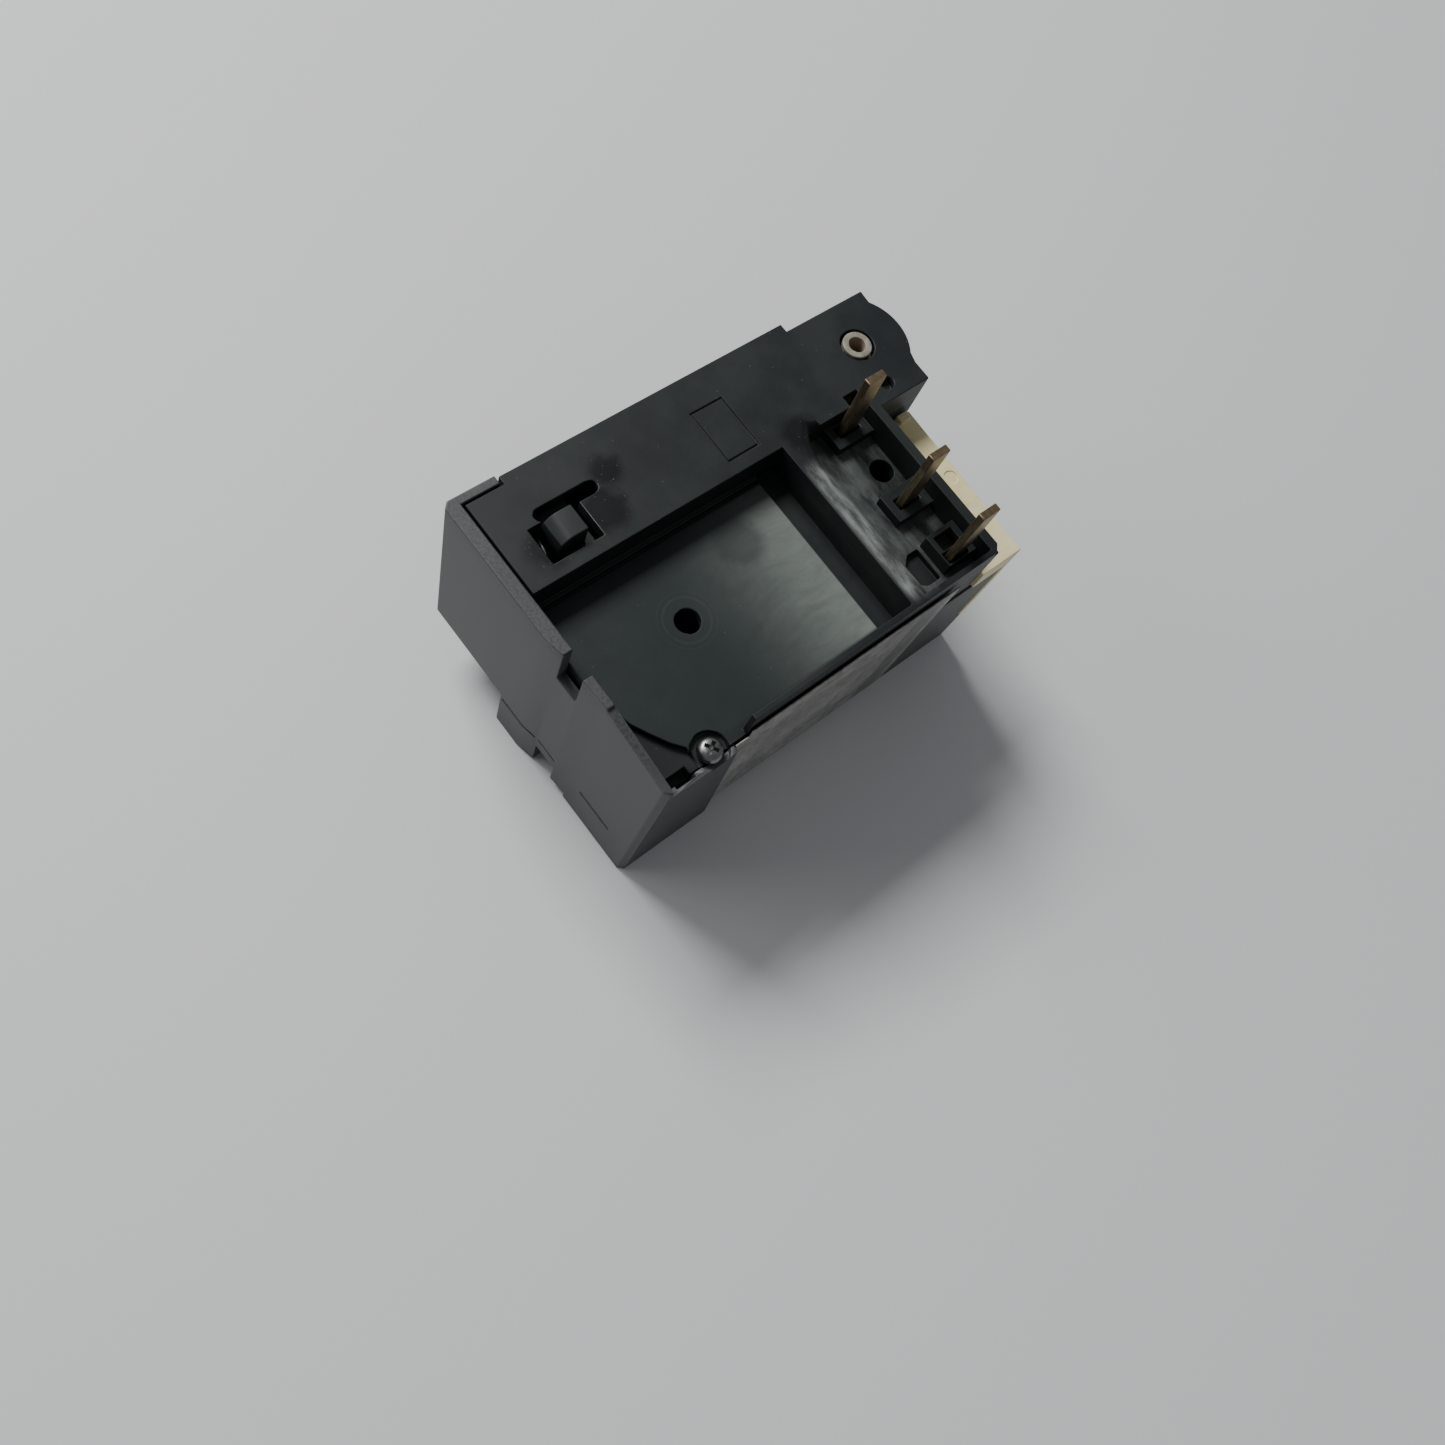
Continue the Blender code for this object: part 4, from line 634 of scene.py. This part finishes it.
brass_finish = plain_brass()
for number in (1, 2, 3):
    fit(moulded(f"load_terminal_{number}", f"load_terminal_strip_{number}", 0.12 * MM),
        brass_finish, "case", f"load_terminal_{number}", slot="brass")
for number in (1, 2, 3, 4):
    fit(moulded(f"aux_terminal_{number}", f"aux_terminal_strip_{number}", 0.1 * MM),
        brass_finish, "case", f"aux_terminal_{number}", slot="brass")
for leaf in ("nc_contact_leaf", "no_contact_leaf"):
    fit(moulded(leaf, leaf + "_strip", 0.08 * MM), brass_finish, "case", leaf, slot="brass")


# ---- Bimetals and heaters ------------------------------------------------------------------------
# Each pole has an upright bimetal strip with a resistance ribbon wound round it. The current in the
# ribbon heats the strip, which bends and pushes the trip slide.

def bimetal_strip():
    strip = Finish("rolled_bimetal", roughness=0.35, metallic=1.0)
    rolled = strip.place.noise(0.4 * MM, 3, 0.5, stretch=(1, 1, 0.1))
    height = strip.axis("Z")
    base = rolled.rise(0.3, 0.7).blend((0.42, 0.40, 0.36), (0.56, 0.54, 0.48))
    base = (height.within(8 * MM, 23 * MM, 3 * MM) * 0.5).blend(base, (0.30, 0.22, 0.16))
    strip.set("Base Color", base)
    strip.set("Roughness", 0.28 + rolled * 0.2)
    strip.bump(rolled, 0.01 * MM, 0.4)
    return strip.material


def heater_ribbon():
    ribbon = Finish("oxidised_ribbon", roughness=0.5, metallic=0.9)
    oxide = ribbon.place.noise(1.0 * MM, 4, 0.6)
    ribbon.set("Base Color", oxide.rise(0.3, 0.7).blend((0.20, 0.17, 0.15), (0.38, 0.33, 0.28)))
    ribbon.set("Roughness", 0.42 + oxide * 0.25)
    ribbon.bump(oxide, 0.01 * MM, 0.4)
    return ribbon.material


def wound_tree(name, flat):
    """A round wire wound in a helix, or a flat ribbon wound squarely about a strip."""
    tree = node_tree_of(name, (
        ("Half Width", "Float"), ("Half Depth", "Float"), ("Height", "Float"),
        ("Turns", "Float"), ("Wire Width", "Float"), ("Wire Height", "Float"),
        ("Place", "Vector"), ("Turn", "Rotation"), ("Finish", "Material")))
    given, result = tree.nodes["Group Input"], tree.nodes["Group Output"]
    flow = Flow(tree)
    size = {name.name: Flow(tree, name) for name in given.outputs if name.name}
    helix = flow.node("GeometryNodeCurveSpiral", {}, {
        "Resolution": 36, "Rotations": size["Turns"], "Start Radius": 1.0, "End Radius": 1.0,
        "Height": size["Height"]}, out="Curve")
    where = flow.node("GeometryNodeInputPosition")
    x, y, z = (flow.node("ShaderNodeSeparateXYZ", {}, {0: where}, out=axis) for axis in "XYZ")
    # A power under 1 pushes the round turn out towards the corners of a square.
    power = 0.45 if flat else 1.0
    x, y = (part.math("SIGN") * part.math("ABSOLUTE").math("POWER", power) for part in (x, y))
    point = flow.node("ShaderNodeCombineXYZ", {}, {
        "X": x * size["Half Width"], "Y": y * size["Half Depth"], "Z": z})
    path = flow.node("GeometryNodeSetPosition", {}, {"Geometry": helix, "Position": point})
    if flat:
        path = flow.node("GeometryNodeSetCurveNormal", {"mode": "Z_UP"}, {"Curve": path})
        section = flow.node("GeometryNodeCurvePrimitiveQuadrilateral", {}, {
            "Width": size["Wire Width"], "Height": size["Wire Height"]})
    else:
        section = flow.node("GeometryNodeCurvePrimitiveCircle", {}, {
            "Resolution": 10, "Radius": size["Wire Width"] * 0.5}, out="Curve")
    wire = flow.node("GeometryNodeCurveToMesh", {}, {
        "Curve": path, "Profile Curve": section, "Fill Caps": True})
    placed = flow.node("GeometryNodeTransform", {}, {
        "Geometry": wire, "Translation": size["Place"], "Rotation": size["Turn"]})
    real = flow.node("GeometryNodeRealizeInstances", {}, {"Geometry": placed})
    dressed = flow.node("GeometryNodeSetMaterial", {}, {
        "Geometry": real, "Material": size["Finish"]})
    tree.links.new(dressed.socket, result.inputs["Geometry"])
    return tree


RIBBON_CENTRE_IN = 0.35 * MM
WINDING_MARGIN = 1.0 * MM
upright = Matrix.Identity(3).to_euler()
strip_finish, ribbon_finish = bimetal_strip(), heater_ribbon()
ribbon_tree = wound_tree("heater_winding", True)
for number in (1, 2, 3):
    fit(moulded(f"bimetal_{number}", f"bimetal_blade_{number}", 0.1 * MM), strip_finish, "case",
        f"bimetal_{number}", slot="bimetal_strip")
    low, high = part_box(f"heater_{number}")
    middle = (low + high) / 2
    winding = grow(ribbon_tree, f"heater_winding_{number}", {
        "Half Width": (high.x - low.x) / 2 - RIBBON_CENTRE_IN,
        "Half Depth": (high.y - low.y) / 2 - RIBBON_CENTRE_IN,
        "Height": high.z - low.z - 2 * WINDING_MARGIN, "Turns": 7.0,
        "Wire Width": 0.4 * MM, "Wire Height": 1.4 * MM,
        "Place": Vector((middle.x, middle.y, low.z + WINDING_MARGIN)), "Turn": upright,
        "Finish": ribbon_finish})
    smooth_by_angle(winding, 40)
    fit(winding, ribbon_finish, "case", f"heater_{number}", slot="heater_ribbon")


# ---- Springs -------------------------------------------------------------------------------------
# Coils of 0.5 mm spring steel: one behind each button's flange, held at the bulkhead, and one
# behind the hook.

spring_tree = wound_tree("coil_spring", False)
along_rear = Matrix.Rotation(math.radians(-90), 3, "X").to_euler()
wire = 0.5 * MM
for node, joint, turns, travel in (("stop_spring", "stop_press", 6.0, 2.0),
                                   ("reset_spring", "reset_press", 6.0, 2.0),
                                   ("latch_spring", "latch_slide", 3.0, 1.4)):
    low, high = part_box(node)
    middle = (low + high) / 2
    spring = grow(spring_tree, node + "_coil", {
        "Half Width": (high.x - low.x - wire) / 2, "Half Depth": (high.z - low.z - wire) / 2,
        "Height": high.y - low.y - wire, "Turns": turns, "Wire Width": wire, "Wire Height": wire,
        "Place": Vector((middle.x, low.y + wire / 2, middle.z)), "Turn": along_rear,
        "Finish": steel_finish})
    smooth_by_angle(spring, 60)
    fit(spring, steel_finish, "case", node, slot="zinc_steel")
    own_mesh(spring)


# ---- Setting dial --------------------------------------------------------------------------------
# A thumb wheel moulded in aged ivory nylon. Its hollow axle comes up through the strip, and its
# ribbed rim shows at the front. A lighter brown painted inside the axle's bore stands for light
# shining a little way into it.

def ivory_nylon(name, light, dark, bore=None):
    nylon = Finish(name, roughness=0.42, Subsurface_Weight=0.25, Subsurface_Scale=0.8 * MM)
    cloud = nylon.place.noise(1.6 * MM, 4, 0.6)
    fine = nylon.place.noise(0.3 * MM, 3, 0.6)
    base = cloud.rise(0.3, 0.7).blend(dark, light)
    base = (nylon.worn_edge(0.2 * MM) * 0.4).blend(base, tuple(part * 1.25 for part in light))
    # Painted light: inside the bore the colour turns a lighter brown, standing for light that shines
    # a little way down the deep hole.
    if bore:
        middle_x, middle_y, radius = bore
        across, along = nylon.axis("X") - middle_x, nylon.axis("Y") - middle_y
        away = (across * across + along * along).math("SQRT")
        bore_painted_light = 1 - away.rise(radius * 0.93, radius * 1.03)
        base = bore_painted_light.blend(base, (0.34, 0.22, 0.155))
    nylon.set("Base Color", base)
    nylon.set("Roughness", 0.36 + cloud * 0.18)
    nylon.bump(fine, 0.012 * MM, 0.5)
    return nylon.material


DIAL_BORE = 1.25 * MM
dial_middle = sum(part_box("setting_dial"), Vector()) / 2
dial_finish = ivory_nylon("aged_ivory_nylon", (0.27, 0.255, 0.205), (0.17, 0.155, 0.12),
                          (dial_middle.x, dial_middle.y, DIAL_BORE))
fit(moulded("setting_dial", "setting_wheel", 0.12 * MM), dial_finish, "setting_dial",
    "setting_dial", slot="ivory_dial")


# ---- Buttons and tell-tale -----------------------------------------------------------------------
# Three small mouldings in coloured plastic: the red stop button, the blue reset button and the
# yellow flag that shows that the relay has tripped.

def coloured_plastic(name, light, dark):
    paint = Finish(name, roughness=0.35, Coat_Weight=0.15)
    cloud = paint.place.noise(2.5 * MM, 4, 0.6)
    fine = paint.place.noise(0.3 * MM, 3, 0.6)
    base = cloud.rise(0.3, 0.7).blend(dark, light)
    rubbed = tuple(min(1, part * 1.5 + 0.02) for part in light)
    base = (paint.worn_edge(0.25 * MM) * 0.35).blend(base, rubbed)
    paint.set("Base Color", base)
    paint.set("Roughness", 0.28 + cloud * 0.2)
    paint.bump(fine, 0.01 * MM, 0.5)
    return paint.material


for node, piece_name, slot_name, light, dark in (
        ("stop_button", "stop_push_button", "red_button",
         (0.55, 0.022, 0.018), (0.40, 0.015, 0.013)),
        ("reset_button", "reset_push_button", "blue_button",
         (0.02, 0.09, 0.40), (0.015, 0.06, 0.28)),
        ("trip_indicator", "tripped_flag", "yellow_flag",
         (0.78, 0.53, 0.04), (0.66, 0.42, 0.03))):
    made = moulded(node, piece_name, 0.25 * MM)
    plastic = coloured_plastic(slot_name + "_plastic", light, dark)
    fit(made, plastic, node, node, slot=slot_name)


# ---- Mechanism -----------------------------------------------------------------------------------
# The frame, slide, lever and rocker are moulded in natural nylon, and the lever and the rocker turn
# on ground steel pins pressed into the frame's ears.

nylon_finish = ivory_nylon("natural_nylon_moulding", (0.58, 0.55, 0.47), (0.48, 0.45, 0.37))
for node, piece_name, body in (("mechanism_frame", "mechanism_chassis", "case"),
                               ("trip_slide", "trip_bar", "trip_slide"),
                               ("trip_lever", "trip_arm", "trip_lever"),
                               ("contact_rocker", "contact_arm", "contact_rocker")):
    fit(moulded(node, piece_name, 0.12 * MM), nylon_finish, body, node,
        slot="natural_nylon")
for node in ("lever_pin", "rocker_pin"):
    fit(moulded(node, node + "_ground", 0.12 * MM), steel_finish, "case", node,
        slot="zinc_steel")


# ---- Floor, light and camera ---------------------------------------------------------------------
# The relay lies on a plain pale sheet. A large soft light stands high on the mechanism side, with a
# weaker one lower towards the rear, and a pale surround fills the shadows.

ground = bpy.data.meshes.new("floor")
HALF_FLOOR = 2
ground.from_pydata([(-HALF_FLOOR, -HALF_FLOOR, 0), (HALF_FLOOR, -HALF_FLOOR, 0),
                    (HALF_FLOOR, HALF_FLOOR, 0), (-HALF_FLOOR, HALF_FLOOR, 0)], [], [(0, 1, 2, 3)])
floor = bpy.data.objects.new("floor", ground)
bpy.context.scene.collection.objects.link(floor)
floor.location.z = -0.05 * MM
sheet = Finish("pale_floor", roughness=0.65)
sheet.shader.inputs["Base Color"].default_value = (0.62, 0.625, 0.63, 1)
ground.materials.append(sheet.material)

world = bpy.data.worlds.new("surround")
bpy.context.scene.world = world
world.use_nodes = True
world.node_tree.nodes["Background"].inputs["Color"].default_value = (0.93, 0.96, 1.0, 1)
world.node_tree.nodes["Background"].inputs["Strength"].default_value = 0.25


def soft_light(name, place, size, power):
    """A rectangular lamp that looks at the middle of the floor."""
    light = bpy.data.lights.new(name, "AREA")
    light.shape = "RECTANGLE"
    light.size, light.size_y = size
    light.energy = power
    lamp = bpy.data.objects.new(name, light)
    bpy.context.scene.collection.objects.link(lamp)
    aim = (-Vector(place)).to_track_quat("-Z", "Y").to_matrix().to_4x4()
    lamp.matrix_world = Matrix.Translation(place) @ aim


soft_light("key_light", (0.75, 0.05, 0.85), (0.50, 0.35), 15)
soft_light("fill_light", (0.75, 0.75, 0.45), (0.6, 0.5), 3)

camera = bpy.data.cameras.new("camera")
camera.lens = 32.35
camera.sensor_width = 36
camera.clip_start = 0.005
viewpoint = bpy.data.objects.new("camera", camera)
bpy.context.scene.collection.objects.link(viewpoint)
right = (-0.6099, -0.7577, 0.2324)
up = (0.7792, -0.5198, 0.3502)
back = (-0.1445, 0.3947, 0.9074)
turned = Matrix((right, up, back)).transposed().to_4x4()
viewpoint.matrix_world = Matrix.Translation((-0.0416, 0.08745, 0.1787)) @ turned
bpy.context.scene.camera = viewpoint
